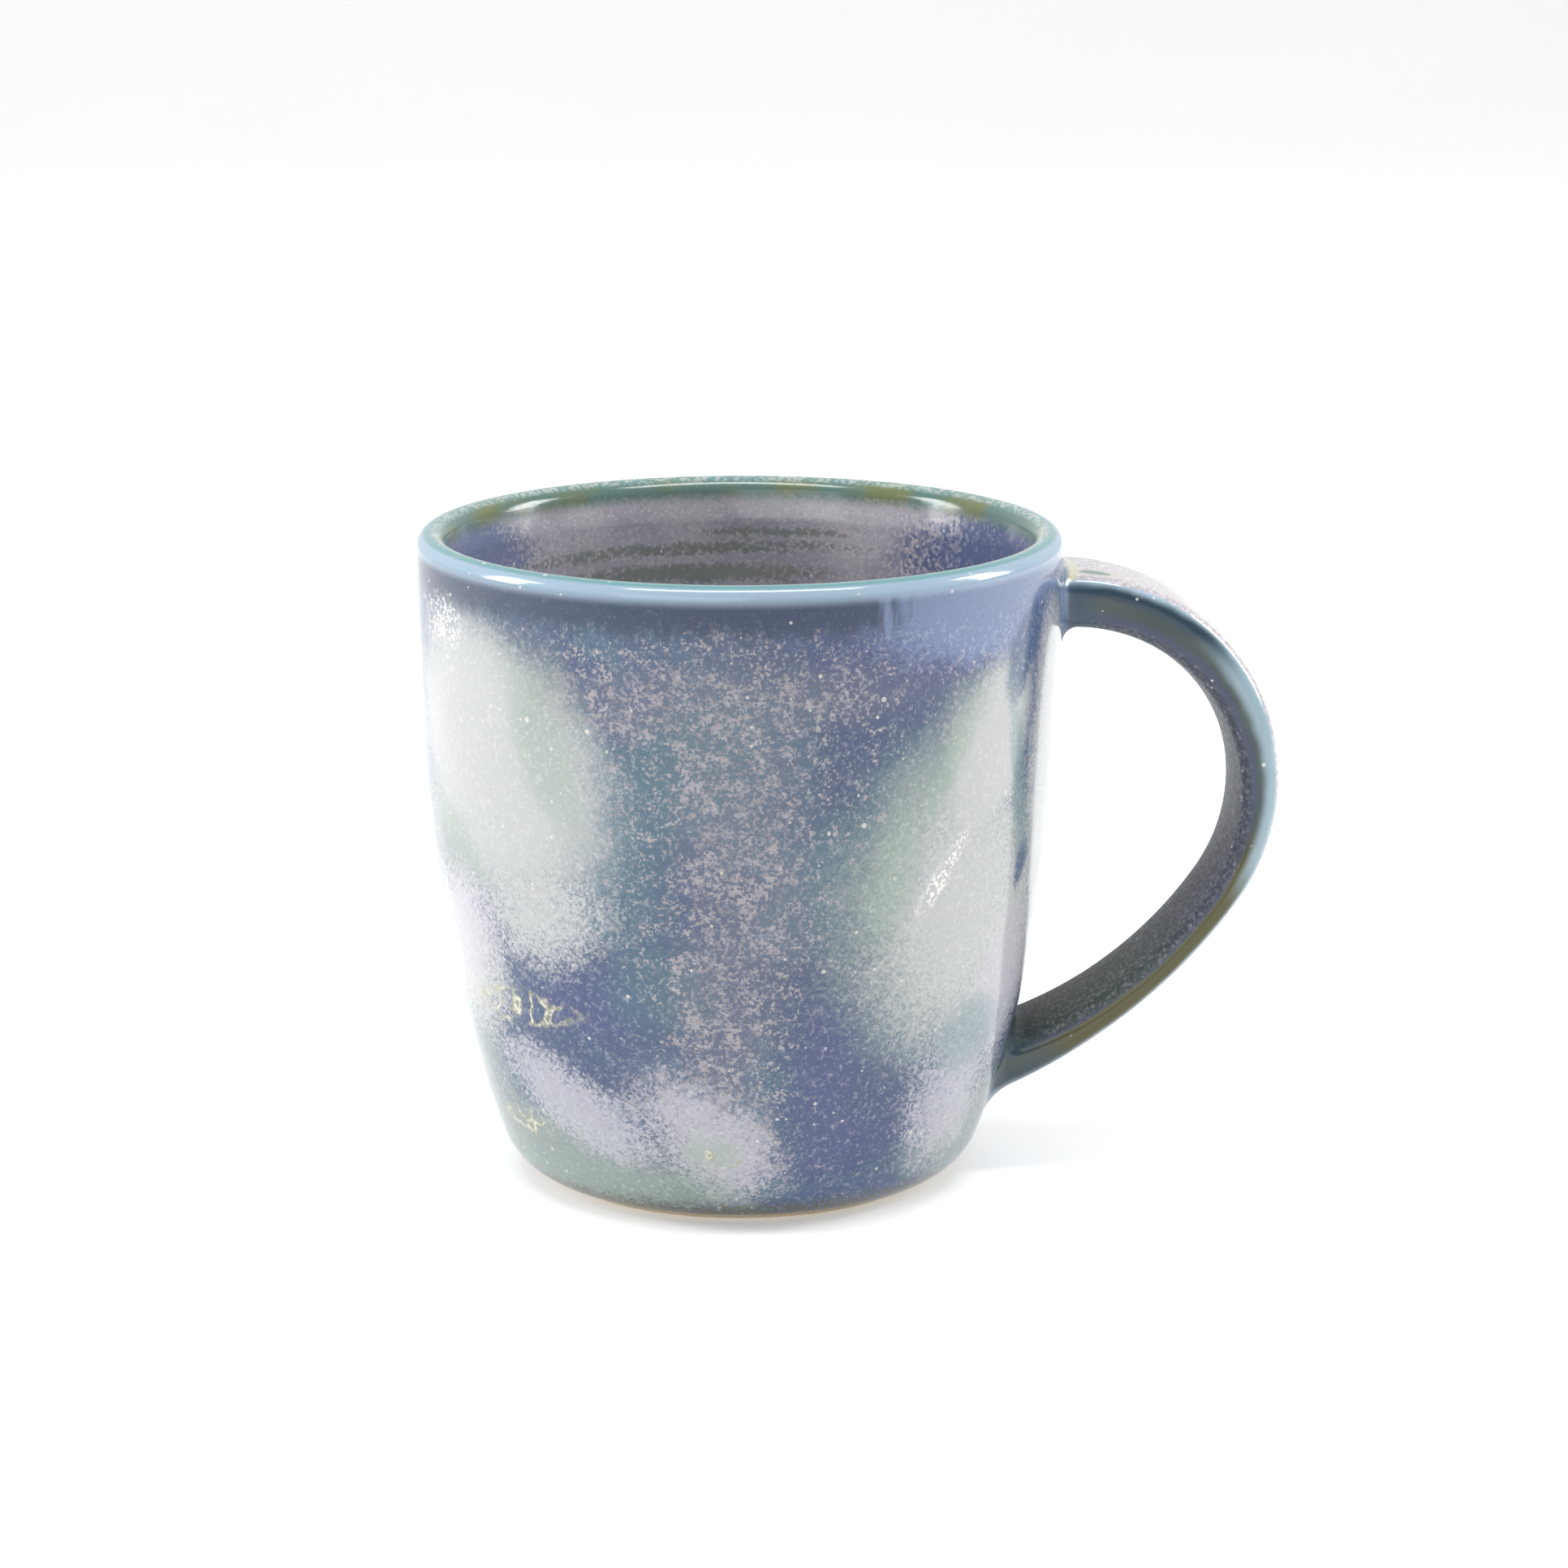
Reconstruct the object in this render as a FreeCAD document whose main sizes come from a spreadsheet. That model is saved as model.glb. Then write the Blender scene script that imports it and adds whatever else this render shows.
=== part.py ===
"""Glazed stoneware mug: a thrown clay cup, a pulled strap handle luted on with slip, and its glaze coats.

Frame: millimetres, +Z up, origin at the centre of the foot ring on the surface the mug stands on.
The handle stands out along +X. The cup's wall follows three circles that run into each other, and
every coat of glaze follows the same circles, one glaze thickness further out. A depth is a distance
in from the glazed outside. The clay bodies lie under the glaze everywhere but on the standing ring.
"""
import FreeCAD, Part

import math
import os

import Sketcher

Vector = FreeCAD.Vector

SIZES = [
    # alias, millimetres, meaning
    ("mug_height", 92.0, "foot to the crest of the glazed lip"),
    ("rim_diameter", 90.0, "outside of the glazed wall where it is widest"),
    ("wall_thickness", 3.1, "clay wall"),
    ("glaze_thickness", 0.45, "every coat of glaze"),
    ("upper_wall_radius", 352.0, "long circle of the upper wall"),
    ("upper_wall_level", 83.0, "height at which the wall stands upright"),
    ("belly_radius", 156.0, "circle of the belly below it"),
    ("belly_level", 61.3, "height of the belly circle's centre"),
    ("corner_radius", 9.4, "circle that turns the wall in to the foot"),
    ("corner_level", 9.65, "height of the corner circle's centre"),
    ("inner_corner_radius", 15.0, "clay, inside, between wall and floor"),
    ("floor_thickness", 4.6, "clay floor above the recess"),
    ("foot_diameter", 53.0, "outside of the standing ring"),
    ("foot_ring_width", 4.4, "standing ring, across"),
    ("foot_recess", 2.6, "depth of the turned recess"),
    ("recess_diameter", 42.0, "ceiling of the recess"),
    ("bare_foot_height", 1.2, "clay left bare above the surface"),
    ("base_glaze_diameter", 41.0, "glaze disc inside the recess"),
    ("handle_width", 18.0, "glazed strap, across"),
    ("handle_edge_radius", 1.4, "rounding of the clay strap's long edges"),
    ("handle_root_depth", 30.0, "where the strap's blank starts, from the axis"),
    ("outer_reach", 75.4, "glazed handle, furthest point from the axis"),
    ("outer_top", 86.0, "glazed handle, highest point"),
    ("outer_bow_radius", 29.8, "outer side of the grip"),
    ("outer_sweep_radius", 79.4, "outer side of the lower arm"),
    ("outer_sweep_level", 85.0, "height of that circle's centre"),
    ("inner_reach", 70.0, "finger gap, furthest point from the axis"),
    ("inner_top", 78.45, "finger gap, highest point"),
    ("inner_bow_radius", 24.25, "inner side of the grip"),
    ("inner_sweep_radius", 55.3, "inner side of the lower arm"),
    ("inner_sweep_level", 71.9, "height of that circle's centre"),
    ("root_fillet", 2.2, "glazed rounding between the wall and the handle's roots"),
    ("core_top", 89.0, "height of the filled-up cup that the roots are fitted to"),
    ("root_split_level", 50.0, "height between the upper and the lower root"),
]

CENTRE = 3              # Sketcher's number for an arc's centre
TOUCHING = 0.01         # an edge this close to the wall lies on it
AWAY_FROM_HANDLE = FreeCAD.Placement(Vector(0, 0, 0), FreeCAD.Rotation(Vector(0, 0, 1), 180))

doc = FreeCAD.newDocument("mug")
sheet = doc.addObject("Spreadsheet::Sheet", "sizes")
for row, (alias, value, meaning) in enumerate(SIZES, start=1):
    sheet.set(f"A{row}", meaning)
    sheet.set(f"B{row}", str(value))
    sheet.setAlias(f"B{row}", alias)
doc.recompute()


def size(alias):
    """The value of one driving dimension, read back from the sheet."""
    return float(sheet.get(alias))


GLAZE = size("glaze_thickness")
WALL = size("wall_thickness")
LIP_RADIUS = WALL / 2
FLOOR_LEVEL = size("foot_recess") + size("floor_thickness")

# What a radius that follows the wall loses at each depth, as the end of an expression.
CLAY_LOSS = " - sizes.glaze_thickness"
HOLLOW_LOSS = " - sizes.glaze_thickness - sizes.wall_thickness"
LINER_LOSS = " - 2 * sizes.glaze_thickness - sizes.wall_thickness"
LIP_LEVEL = "sizes.mug_height - sizes.glaze_thickness - sizes.wall_thickness / 2"
FLOOR = "sizes.foot_recess + sizes.floor_thickness"


# ---------------------------------------------------------------- outlines

def circle_point(centre, radius, angle):
    """The point of a circle at an angle from +X."""
    return Vector(centre.x + radius * math.cos(angle), centre.y + radius * math.sin(angle), 0)


def crossing(distance, centre, radius, sign):
    """Where a circle crosses a vertical line, above (1) or below (-1) its centre."""
    offset = distance - centre.x
    return Vector(distance, centre.y + sign * math.sqrt(radius ** 2 - offset ** 2), 0)


def add_body(label):
    """A PartDesign body under its node name."""
    body = doc.addObject("PartDesign::Body", label)
    body.Label = label
    return body


class Outline:
    """One closed outline in a body's XZ plane, drawn stretch by stretch and then tied to the sheet."""

    def __init__(self, body, start):
        self.sketch = body.newObject("Sketcher::SketchObject", f"{body.Label}_outline")
        planes = body.Origin.OriginFeatures
        upright = next(item for item in planes if item.Role == "XZ_Plane")
        self.sketch.AttachmentSupport = (upright, [""])
        self.sketch.MapMode = "FlatFace"
        self.pen = start
        self.stretches = []      # index, number of its first point, number of its last point

    def line_to(self, target):
        """A straight stretch. Returns its index."""
        index = self.sketch.addGeometry(Part.LineSegment(self.pen, target), False)
        self.stretches.append((index, 1, 2))
        self.pen = target
        return index

    def arc_to(self, target, centre):
        """The shorter arc about centre. Returns its index."""
        first = self.pen - centre
        last = target - centre
        angles = [math.atan2(first.y, first.x), math.atan2(last.y, last.x)]
        anticlockwise = first.cross(last).z > 0
        if not anticlockwise:
            angles.reverse()
        circle = Part.Circle(centre, Vector(0, 0, 1), first.Length)
        index = self.sketch.addGeometry(Part.ArcOfCircle(circle, *angles), False)
        self.stretches.append((index, 1, 2) if anticlockwise else (index, 2, 1))
        self.pen = target
        return index

    def close(self, smooth):
        """Joins the stretches into a loop. Those in smooth run on into the next without a corner."""
        following = self.stretches[1:] + self.stretches[:1]
        for (index, _, exit_point), (next_index, entry_point, _) in zip(self.stretches, following):
            kind = "Tangent" if index in smooth else "Coincident"
            self.add(kind, index, exit_point, next_index, entry_point)

    def start_number(self, index):
        """Sketcher's number for the point at which a stretch starts."""
        return self.stretches[index][1]

    def add(self, *terms):
        """A constraint without a size."""
        self.sketch.addConstraint(Sketcher.Constraint(*terms))

    def bind(self, name, expression, *terms):
        """A constraint whose size follows the sheet."""
        index = self.sketch.addConstraint(Sketcher.Constraint(*terms))
        self.sketch.renameConstraint(index, name)
        self.sketch.setExpression(f"Constraints.{name}", expression)

    def bind_radius(self, name, expression, index):
        """Ties an arc's radius."""
        self.bind(name, expression, "Radius", index, self.sketch.Geometry[index].Radius)

    def bind_level(self, name, expression, index, point):
        """Ties a point's height above the surface."""
        height = self.sketch.getPoint(index, point).y
        self.bind(name, expression, "DistanceY", -1, 1, index, point, height)

    def bind_distance(self, name, expression, index, point):
        """Ties a point's distance from the axis, on the +X side."""
        distance = self.sketch.getPoint(index, point).x
        self.bind(name, expression, "DistanceX", -1, 1, index, point, distance)

    def share_centres(self, *pairs):
        """Gives each pair of arcs one centre."""
        for one, other in pairs:
            self.add("Coincident", one, CENTRE, other, CENTRE)


class WallLine:
    """The three circles that the wall follows, at one depth."""

    def __init__(self, depth):
        upper, belly, corner = (size(f"{part}_radius") for part in ("upper_wall", "belly", "corner"))
        self.upper = Vector(size("rim_diameter") / 2 - upper, size("upper_wall_level"), 0)
        self.upper_end, self.belly = self.next_circle(self.upper, upper - belly, size("belly_level"))
        self.belly_end, self.corner = self.next_circle(self.belly, belly - corner, size("corner_level"))
        self.upper_radius = upper - depth
        self.belly_radius = belly - depth
        self.corner_radius = corner - depth

    @staticmethod
    def next_circle(centre, gap, level):
        """Angle at which a circle hands over to a smaller one inside it, and the smaller one's centre."""
        angle = math.asin((level - centre.y) / gap)
        return angle, circle_point(centre, gap, angle)

    def upper_join(self):
        """Where the upper wall runs into the belly."""
        return circle_point(self.upper, self.upper_radius, self.upper_end)

    def belly_join(self):
        """Where the belly runs into the corner."""
        return circle_point(self.belly, self.belly_radius, self.belly_end)

    def shoulder(self, level):
        """The point of the upper wall at a height."""
        angle = math.asin((level - self.upper.y) / self.upper_radius)
        return circle_point(self.upper, self.upper_radius, angle)

    def toe(self, level):
        """The point of the corner at a height."""
        angle = math.asin((level - self.corner.y) / self.corner_radius)
        return circle_point(self.corner, self.corner_radius, angle)

    def floor_corner(self, radius):
        """Centre of the inside corner that leads from this line to the floor, and its start on the line."""
        gap = self.belly_radius - radius
        angle = math.asin((FLOOR_LEVEL + radius - self.belly.y) / gap)
        centre = circle_point(self.belly, gap, angle)
        return centre, circle_point(centre, radius, angle)

    def height_above(self, point):
        """How far a point of the upper wall or the belly stands off this line."""
        distance = math.hypot(point.x, point.y)
        if point.z > self.upper_join().y:
            return math.hypot(distance - self.upper.x, point.z - self.upper.y) - self.upper_radius
        return math.hypot(distance - self.belly.x, point.z - self.belly.y) - self.belly_radius

    def draw_down(self, outline, end):
        """Upper wall, belly and corner, from the pen down to end. Returns the three indices."""
        return (outline.arc_to(self.upper_join(), self.upper),
                outline.arc_to(self.belly_join(), self.belly),
                outline.arc_to(end, self.corner))


def bind_upper_centre(outline, upper):
    """Ties the centre of the upper wall's circle, which lies beyond the axis."""
    beyond_axis = -outline.sketch.getPoint(upper, CENTRE).x
    outline.bind("upper_centre", "sizes.upper_wall_radius - sizes.rim_diameter / 2",
                 "DistanceX", upper, CENTRE, -1, 1, beyond_axis)
    outline.bind_level("upper_level", "sizes.upper_wall_level", upper, CENTRE)


def bind_wall(outline, upper, belly, corner, loss):
    """Ties the three circles of a wall line."""
    bind_upper_centre(outline, upper)
    outline.bind_level("belly_level", "sizes.belly_level", belly, CENTRE)
    outline.bind_level("corner_level", "sizes.corner_level", corner, CENTRE)
    outline.bind_radius("upper_radius", f"sizes.upper_wall_radius{loss}", upper)
    outline.bind_radius("belly_radius", f"sizes.belly_radius{loss}", belly)
    outline.bind_radius("corner_radius", f"sizes.corner_radius{loss}", corner)


class Lip:
    """The lip's rounding, on the middle of the wall, at a radius about its centre."""

    def __init__(self, radius):
        middle = WallLine(GLAZE + WALL / 2)
        self.centre = middle.shoulder(size("mug_height") - GLAZE - WALL / 2)
        lean = math.atan2(self.centre.y - middle.upper.y, self.centre.x - middle.upper.x)
        self.crest = circle_point(self.centre, radius, math.pi / 2)
        self.outside = circle_point(self.centre, radius, lean)
        self.inside = circle_point(self.centre, radius, lean + math.pi)


def revolve(body, outline):
    """Turns an outline round the cup's axis, with its seam on the side away from the handle."""
    turned = body.newObject("PartDesign::Revolution", f"{body.Label}_turned")
    turned.Profile = outline.sketch
    turned.ReferenceAxis = (outline.sketch, ["V_Axis"])
    turned.Angle = 360.0
    body.Placement = AWAY_FROM_HANDLE
    return body


# ---------------------------------------------------------------- the cup and its coats

def build_cup():
    """Clay cup: foot ring with its turned recess, rounded corner, belly, upper wall and rolled lip."""
    body = add_body("cup_body")
    outside = WallLine(GLAZE)
    inside = WallLine(GLAZE + WALL)
    lip = Lip(LIP_RADIUS)
    recess = size("foot_recess")
    foot_outer = size("foot_diameter") / 2
    foot_inner = foot_outer - size("foot_ring_width")
    hollow, hollow_start = inside.floor_corner(size("inner_corner_radius"))

    outline = Outline(body, lip.crest)
    lip_outer = outline.arc_to(lip.outside, lip.centre)
    upper, belly, corner = outside.draw_down(outline, outside.toe(size("bare_foot_height")))
    bevel = outline.line_to(Vector(foot_outer, 0, 0))
    ring = outline.line_to(Vector(foot_inner, 0, 0))
    outline.line_to(Vector(size("recess_diameter") / 2, recess, 0))
    ceiling = outline.line_to(Vector(0, recess, 0))
    axis = outline.line_to(Vector(0, FLOOR_LEVEL, 0))
    floor = outline.line_to(Vector(hollow.x, FLOOR_LEVEL, 0))
    inner_corner = outline.arc_to(hollow_start, hollow)
    inner_belly = outline.arc_to(inside.upper_join(), inside.belly)
    inner_upper = outline.arc_to(lip.inside, inside.upper)
    lip_inner = outline.arc_to(lip.crest, lip.centre)

    outline.close({lip_outer, upper, belly, floor, inner_corner, inner_belly, inner_upper, lip_inner})
    bind_wall(outline, upper, belly, corner, CLAY_LOSS)
    outline.share_centres((inner_upper, upper), (inner_belly, belly), (lip_inner, lip_outer))
    outline.bind_radius("inner_upper", f"sizes.upper_wall_radius{HOLLOW_LOSS}", inner_upper)
    outline.bind_radius("inner_corner", "sizes.inner_corner_radius", inner_corner)
    outline.bind_level("lip_level", LIP_LEVEL, lip_outer, CENTRE)
    outline.add("Vertical", lip_outer, CENTRE, lip_outer, outline.start_number(lip_outer))
    outline.bind_level("foot_top", "sizes.bare_foot_height", bevel, 1)
    outline.bind_distance("foot_outer", "sizes.foot_diameter / 2", ring, 1)
    outline.bind_distance("foot_inner", "sizes.foot_diameter / 2 - sizes.foot_ring_width", ring, 2)
    outline.bind_distance("recess_edge", "sizes.recess_diameter / 2", ceiling, 1)
    outline.bind_level("recess", "sizes.foot_recess", ceiling, 1)
    outline.bind_level("floor", FLOOR, floor, 1)
    for level_line in (ring, ceiling, floor):
        outline.add("Horizontal", level_line)
    outline.add("PointOnObject", ring, 1, -1)
    outline.add("PointOnObject", ceiling, 2, -2)
    outline.add("Vertical", axis)
    return revolve(body, outline)


def build_outside_coat():
    """Glaze from the crest of the lip down the whole outside to the bare foot."""
    body = add_body("outside_coat")
    glazed = WallLine(0)
    clay = WallLine(GLAZE)
    lip = Lip(LIP_RADIUS + GLAZE)
    clay_lip = Lip(LIP_RADIUS)
    clay_toe = clay.toe(size("bare_foot_height"))
    toe_angle = math.atan2(clay_toe.y - clay.corner.y, clay_toe.x - clay.corner.x)

    outline = Outline(body, lip.crest)
    lip_arc = outline.arc_to(lip.outside, lip.centre)
    upper, belly, corner = glazed.draw_down(
        outline, circle_point(glazed.corner, glazed.corner_radius, toe_angle))
    edge = outline.line_to(clay_toe)
    clay_corner = outline.arc_to(clay.belly_join(), clay.corner)
    clay_belly = outline.arc_to(clay.upper_join(), clay.belly)
    clay_upper = outline.arc_to(clay_lip.outside, clay.upper)
    clay_lip_arc = outline.arc_to(clay_lip.crest, lip.centre)
    seam = outline.line_to(lip.crest)

    outline.close({lip_arc, upper, belly, clay_corner, clay_belly, clay_upper})
    bind_wall(outline, upper, belly, corner, "")
    outline.share_centres((clay_upper, upper), (clay_belly, belly), (clay_corner, corner),
                          (clay_lip_arc, lip_arc))
    outline.bind_radius("clay_upper", f"sizes.upper_wall_radius{CLAY_LOSS}", clay_upper)
    outline.bind_radius("lip_radius", "sizes.wall_thickness / 2 + sizes.glaze_thickness", lip_arc)
    outline.bind_level("lip_level", LIP_LEVEL, lip_arc, CENTRE)
    outline.bind_level("foot_top", "sizes.bare_foot_height", edge, 2)
    outline.add("Vertical", seam)
    outline.add("Vertical", lip_arc, CENTRE, seam, 1)
    outline.add("PointOnObject", corner, CENTRE, edge)
    return revolve(body, outline)


def build_inside_glaze():
    """Liner glaze from the crest of the lip down the inside and across the floor."""
    body = add_body("inside_glaze")
    liner = WallLine(2 * GLAZE + WALL)
    clay = WallLine(GLAZE + WALL)
    lip = Lip(LIP_RADIUS + GLAZE)
    clay_lip = Lip(LIP_RADIUS)
    turn_radius = size("inner_corner_radius")
    turn, clay_turn_end = clay.floor_corner(turn_radius)
    turn_angle = math.atan2(clay_turn_end.y - turn.y, clay_turn_end.x - turn.x)

    outline = Outline(body, lip.crest)
    lip_arc = outline.arc_to(lip.inside, lip.centre)
    upper = outline.arc_to(liner.upper_join(), liner.upper)
    belly = outline.arc_to(circle_point(turn, turn_radius - GLAZE, turn_angle), liner.belly)
    corner = outline.arc_to(Vector(turn.x, FLOOR_LEVEL + GLAZE, 0), turn)
    pool = outline.line_to(Vector(0, FLOOR_LEVEL + GLAZE, 0))
    axis = outline.line_to(Vector(0, FLOOR_LEVEL, 0))
    clay_floor = outline.line_to(Vector(turn.x, FLOOR_LEVEL, 0))
    clay_corner = outline.arc_to(clay_turn_end, turn)
    clay_belly = outline.arc_to(clay.upper_join(), clay.belly)
    clay_upper = outline.arc_to(clay_lip.inside, clay.upper)
    clay_lip_arc = outline.arc_to(clay_lip.crest, lip.centre)
    seam = outline.line_to(lip.crest)

    outline.close({lip_arc, upper, belly, corner, clay_floor, clay_corner, clay_belly, clay_upper})
    bind_upper_centre(outline, upper)
    outline.bind_level("belly_level", "sizes.belly_level", belly, CENTRE)
    outline.share_centres((clay_upper, upper), (clay_belly, belly), (clay_corner, corner),
                          (clay_lip_arc, lip_arc))
    outline.bind_radius("upper_radius", f"sizes.upper_wall_radius{LINER_LOSS}", upper)
    outline.bind_radius("clay_upper", f"sizes.upper_wall_radius{HOLLOW_LOSS}", clay_upper)
    outline.bind_radius("clay_belly", f"sizes.belly_radius{HOLLOW_LOSS}", clay_belly)
    outline.bind_radius("clay_corner", "sizes.inner_corner_radius", clay_corner)
    outline.bind_radius("clay_lip", "sizes.wall_thickness / 2", clay_lip_arc)
    outline.bind_level("lip_level", LIP_LEVEL, lip_arc, CENTRE)
    outline.bind_level("floor", FLOOR, clay_floor, 1)
    for level_line in (pool, clay_floor):
        outline.add("Horizontal", level_line)
    outline.add("Vertical", axis)
    outline.add("PointOnObject", axis, 1, -2)
    outline.add("Vertical", seam)
    outline.add("Vertical", lip_arc, CENTRE, seam, 1)
    return revolve(body, outline)


def build_base_glaze():
    """Glaze disc on the ceiling of the turned recess, clear of the standing ring."""
    disc = doc.addObject("Part::Cylinder", "base_glaze")
    disc.setExpression("Radius", "sizes.base_glaze_diameter / 2")
    disc.setExpression("Height", "sizes.glaze_thickness")
    disc.setExpression("Placement.Base.z", "sizes.foot_recess - sizes.glaze_thickness")
    return disc


def build_core(label, depth, loss):
    """The cup filled up solid out to a wall line, for fitting the handle's roots to it."""
    body = add_body(label)
    wall = WallLine(depth)
    top = size("core_top")
    bottom = size("bare_foot_height")

    outline = Outline(body, Vector(0, top, 0))
    lid = outline.line_to(wall.shoulder(top))
    upper, belly, corner = wall.draw_down(outline, wall.toe(bottom))
    underside = outline.line_to(Vector(0, bottom, 0))
    outline.line_to(Vector(0, top, 0))

    outline.close({upper, belly})
    bind_wall(outline, upper, belly, corner, loss)
    for level_line in (lid, underside):
        outline.add("Horizontal", level_line)
    outline.add("PointOnObject", lid, 1, -2)
    outline.add("PointOnObject", underside, 2, -2)
    outline.bind_level("top", "sizes.core_top", lid, 1)
    outline.bind_level("bottom", "sizes.bare_foot_height", underside, 1)
    return revolve(body, outline)


# ---------------------------------------------------------------- the handle

class StrapSide:
    """The round bow and the longer sweep of one side of the strap, with growth added to both radii."""

    def __init__(self, side, growth):
        bow_radius = size(f"{side}_bow_radius")
        sweep_radius = size(f"{side}_sweep_radius")
        gap = sweep_radius - bow_radius
        self.bow = Vector(size(f"{side}_reach") - bow_radius, size(f"{side}_top") - bow_radius, 0)
        drop = math.asin((size(f"{side}_sweep_level") - self.bow.y) / gap)
        self.sweep = circle_point(self.bow, gap, math.pi - drop)
        self.bow_radius = bow_radius + growth
        self.sweep_radius = sweep_radius + growth
        self.join = circle_point(self.sweep, self.sweep_radius, -drop)

    def upper_start(self):
        """Where the bow starts, inside the cup."""
        return crossing(size("handle_root_depth"), self.bow, self.bow_radius, 1)

    def lower_end(self):
        """Where the sweep ends, inside the cup."""
        return crossing(size("handle_root_depth"), self.sweep, self.sweep_radius, -1)


def bind_side(outline, side, bow, sweep, growth):
    """Ties one side of the strap. growth is the end of the expression for its radii."""
    outline.bind_radius(f"{side}_bow", f"sizes.{side}_bow_radius{growth}", bow)
    outline.bind_radius(f"{side}_sweep", f"sizes.{side}_sweep_radius{growth}", sweep)
    outline.bind_distance(f"{side}_reach", f"sizes.{side}_reach - sizes.{side}_bow_radius", bow, CENTRE)
    outline.bind_level(f"{side}_top", f"sizes.{side}_top - sizes.{side}_bow_radius", bow, CENTRE)
    outline.bind_level(f"{side}_sweep_level", f"sizes.{side}_sweep_level", sweep, CENTRE)


def long_edges(shape):
    """Names of the edges along both flat sides of a strap, without those of its two ends."""
    root = size("handle_root_depth")
    names = []
    for number, edge in enumerate(shape.Edges, start=1):
        first, last = edge.Vertexes
        across = abs(first.Y - last.Y) > TOUCHING
        at_root = all(abs(vertex.X - root) < TOUCHING for vertex in (first, last))
        if not across and not at_root:
            names.append(f"Edge{number}")
    return names


def build_strap(label, depth, depth_text, edge_text):
    """The strap with its blind ends, depth inside its glazed surface all round, with rounded edges."""
    body = add_body(label)
    outer = StrapSide("outer", -depth)
    inner = StrapSide("inner", depth)

    outline = Outline(body, outer.upper_start())
    outer_bow = outline.arc_to(outer.join, outer.bow)
    outer_sweep = outline.arc_to(outer.lower_end(), outer.sweep)
    lower_end = outline.line_to(inner.lower_end())
    inner_sweep = outline.arc_to(inner.join, inner.sweep)
    inner_bow = outline.arc_to(inner.upper_start(), inner.bow)
    upper_end = outline.line_to(outer.upper_start())

    outline.close({outer_bow, inner_sweep})
    bind_side(outline, "outer", outer_bow, outer_sweep, f" - {depth_text}")
    bind_side(outline, "inner", inner_bow, inner_sweep, f" + {depth_text}")
    for name, end in (("lower_depth", lower_end), ("upper_depth", upper_end)):
        outline.add("Vertical", end)
        outline.bind_distance(name, "sizes.handle_root_depth", end, 1)

    pad = body.newObject("PartDesign::Pad", f"{label}_pad")
    pad.Profile = outline.sketch
    pad.SideType = "Symmetric"
    pad.setExpression("Length", f"sizes.handle_width - 2 * {depth_text}")
    doc.recompute()
    rounding = body.newObject("PartDesign::Fillet", f"{label}_edges")
    rounding.Base = (pad, long_edges(pad.Shape))
    rounding.setExpression("Radius", edge_text)
    return body


# ---------------------------------------------------------------- fitting the handle to the cup

def combine(kind, label, base, tool):
    """A boolean of two objects: Part::Fuse, Part::Cut or Part::Common."""
    result = doc.addObject(kind, label)
    result.Label = label
    result.Base = base
    result.Tool = tool
    return result


def root_edges(shape, wall):
    """Numbers of the edges where the strap leaves the wall, at both roots."""
    numbers = []
    for number, edge in enumerate(shape.Edges, start=1):
        middle = edge.valueAt((edge.FirstParameter + edge.LastParameter) / 2)
        on_wall = abs(wall.height_above(middle)) < TOUCHING
        under_strap = middle.x > 0 and edge.BoundBox.YLength < size("handle_width")
        if on_wall and under_strap:
            numbers.append(number)
    return numbers


def build_coated_mug(core, strap):
    """Filled-up cup and strap in one lump, with the corner between them filled at both roots."""
    lump = combine("Part::Fuse", "coated_lump", core, strap)
    doc.recompute()
    filled = doc.addObject("Part::Fillet", "coated_mug")
    filled.Base = lump
    radius = size("root_fillet")
    filled.Edges = [(number, radius, radius) for number in root_edges(lump.Shape, WallLine(0))]
    return filled


def build_zone(label, bottom):
    """A box on the handle's side of the axis that takes in one root."""
    box = doc.addObject("Part::Box", label)
    box.setExpression("Length", "sizes.outer_reach")
    box.setExpression("Width", "sizes.rim_diameter")
    box.setExpression("Height", "sizes.root_split_level")
    box.setExpression("Placement.Base.y", "-sizes.rim_diameter / 2")
    box.setExpression("Placement.Base.z", bottom)
    return box


cup = build_cup()
inside_glaze = build_inside_glaze()
base_glaze = build_base_glaze()

clay_core = build_core("clay_core", GLAZE, CLAY_LOSS)
glazed_core = build_core("glazed_core", 0, "")
clay_strap = build_strap("clay_strap", GLAZE, "sizes.glaze_thickness", "sizes.handle_edge_radius")
glazed_strap = build_strap("glazed_strap", 0, "0", "sizes.handle_edge_radius + sizes.glaze_thickness")
doc.recompute()

# The slip lies in the coat's opening, between the clay wall and the end of the clay handle.
handle = combine("Part::Cut", "handle", clay_strap, glazed_core)
outside_coat = build_outside_coat()
outside_glaze = combine("Part::Cut", "outside_glaze", outside_coat, glazed_strap)
slip = combine("Part::Common", "slip", outside_coat, glazed_strap)
upper_zone = build_zone("upper_zone", "sizes.root_split_level")
lower_zone = build_zone("lower_zone", "0")
upper_slip = combine("Part::Common", "upper_handle_slip", slip, upper_zone)
lower_slip = combine("Part::Common", "lower_handle_slip", slip, lower_zone)

# The handle's coat fills the corner between strap and wall, where glaze and slip pool.
coated_mug = build_coated_mug(glazed_core, glazed_strap)
coated_handle = combine("Part::Cut", "coated_handle", coated_mug, glazed_core)
handle_glaze = combine("Part::Cut", "handle_glaze", coated_handle, clay_strap)

SUBPARTS = [cup, handle, upper_slip, lower_slip, outside_glaze, inside_glaze, base_glaze, handle_glaze]


# ---------------------------------------------------------------- checks and files

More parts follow.
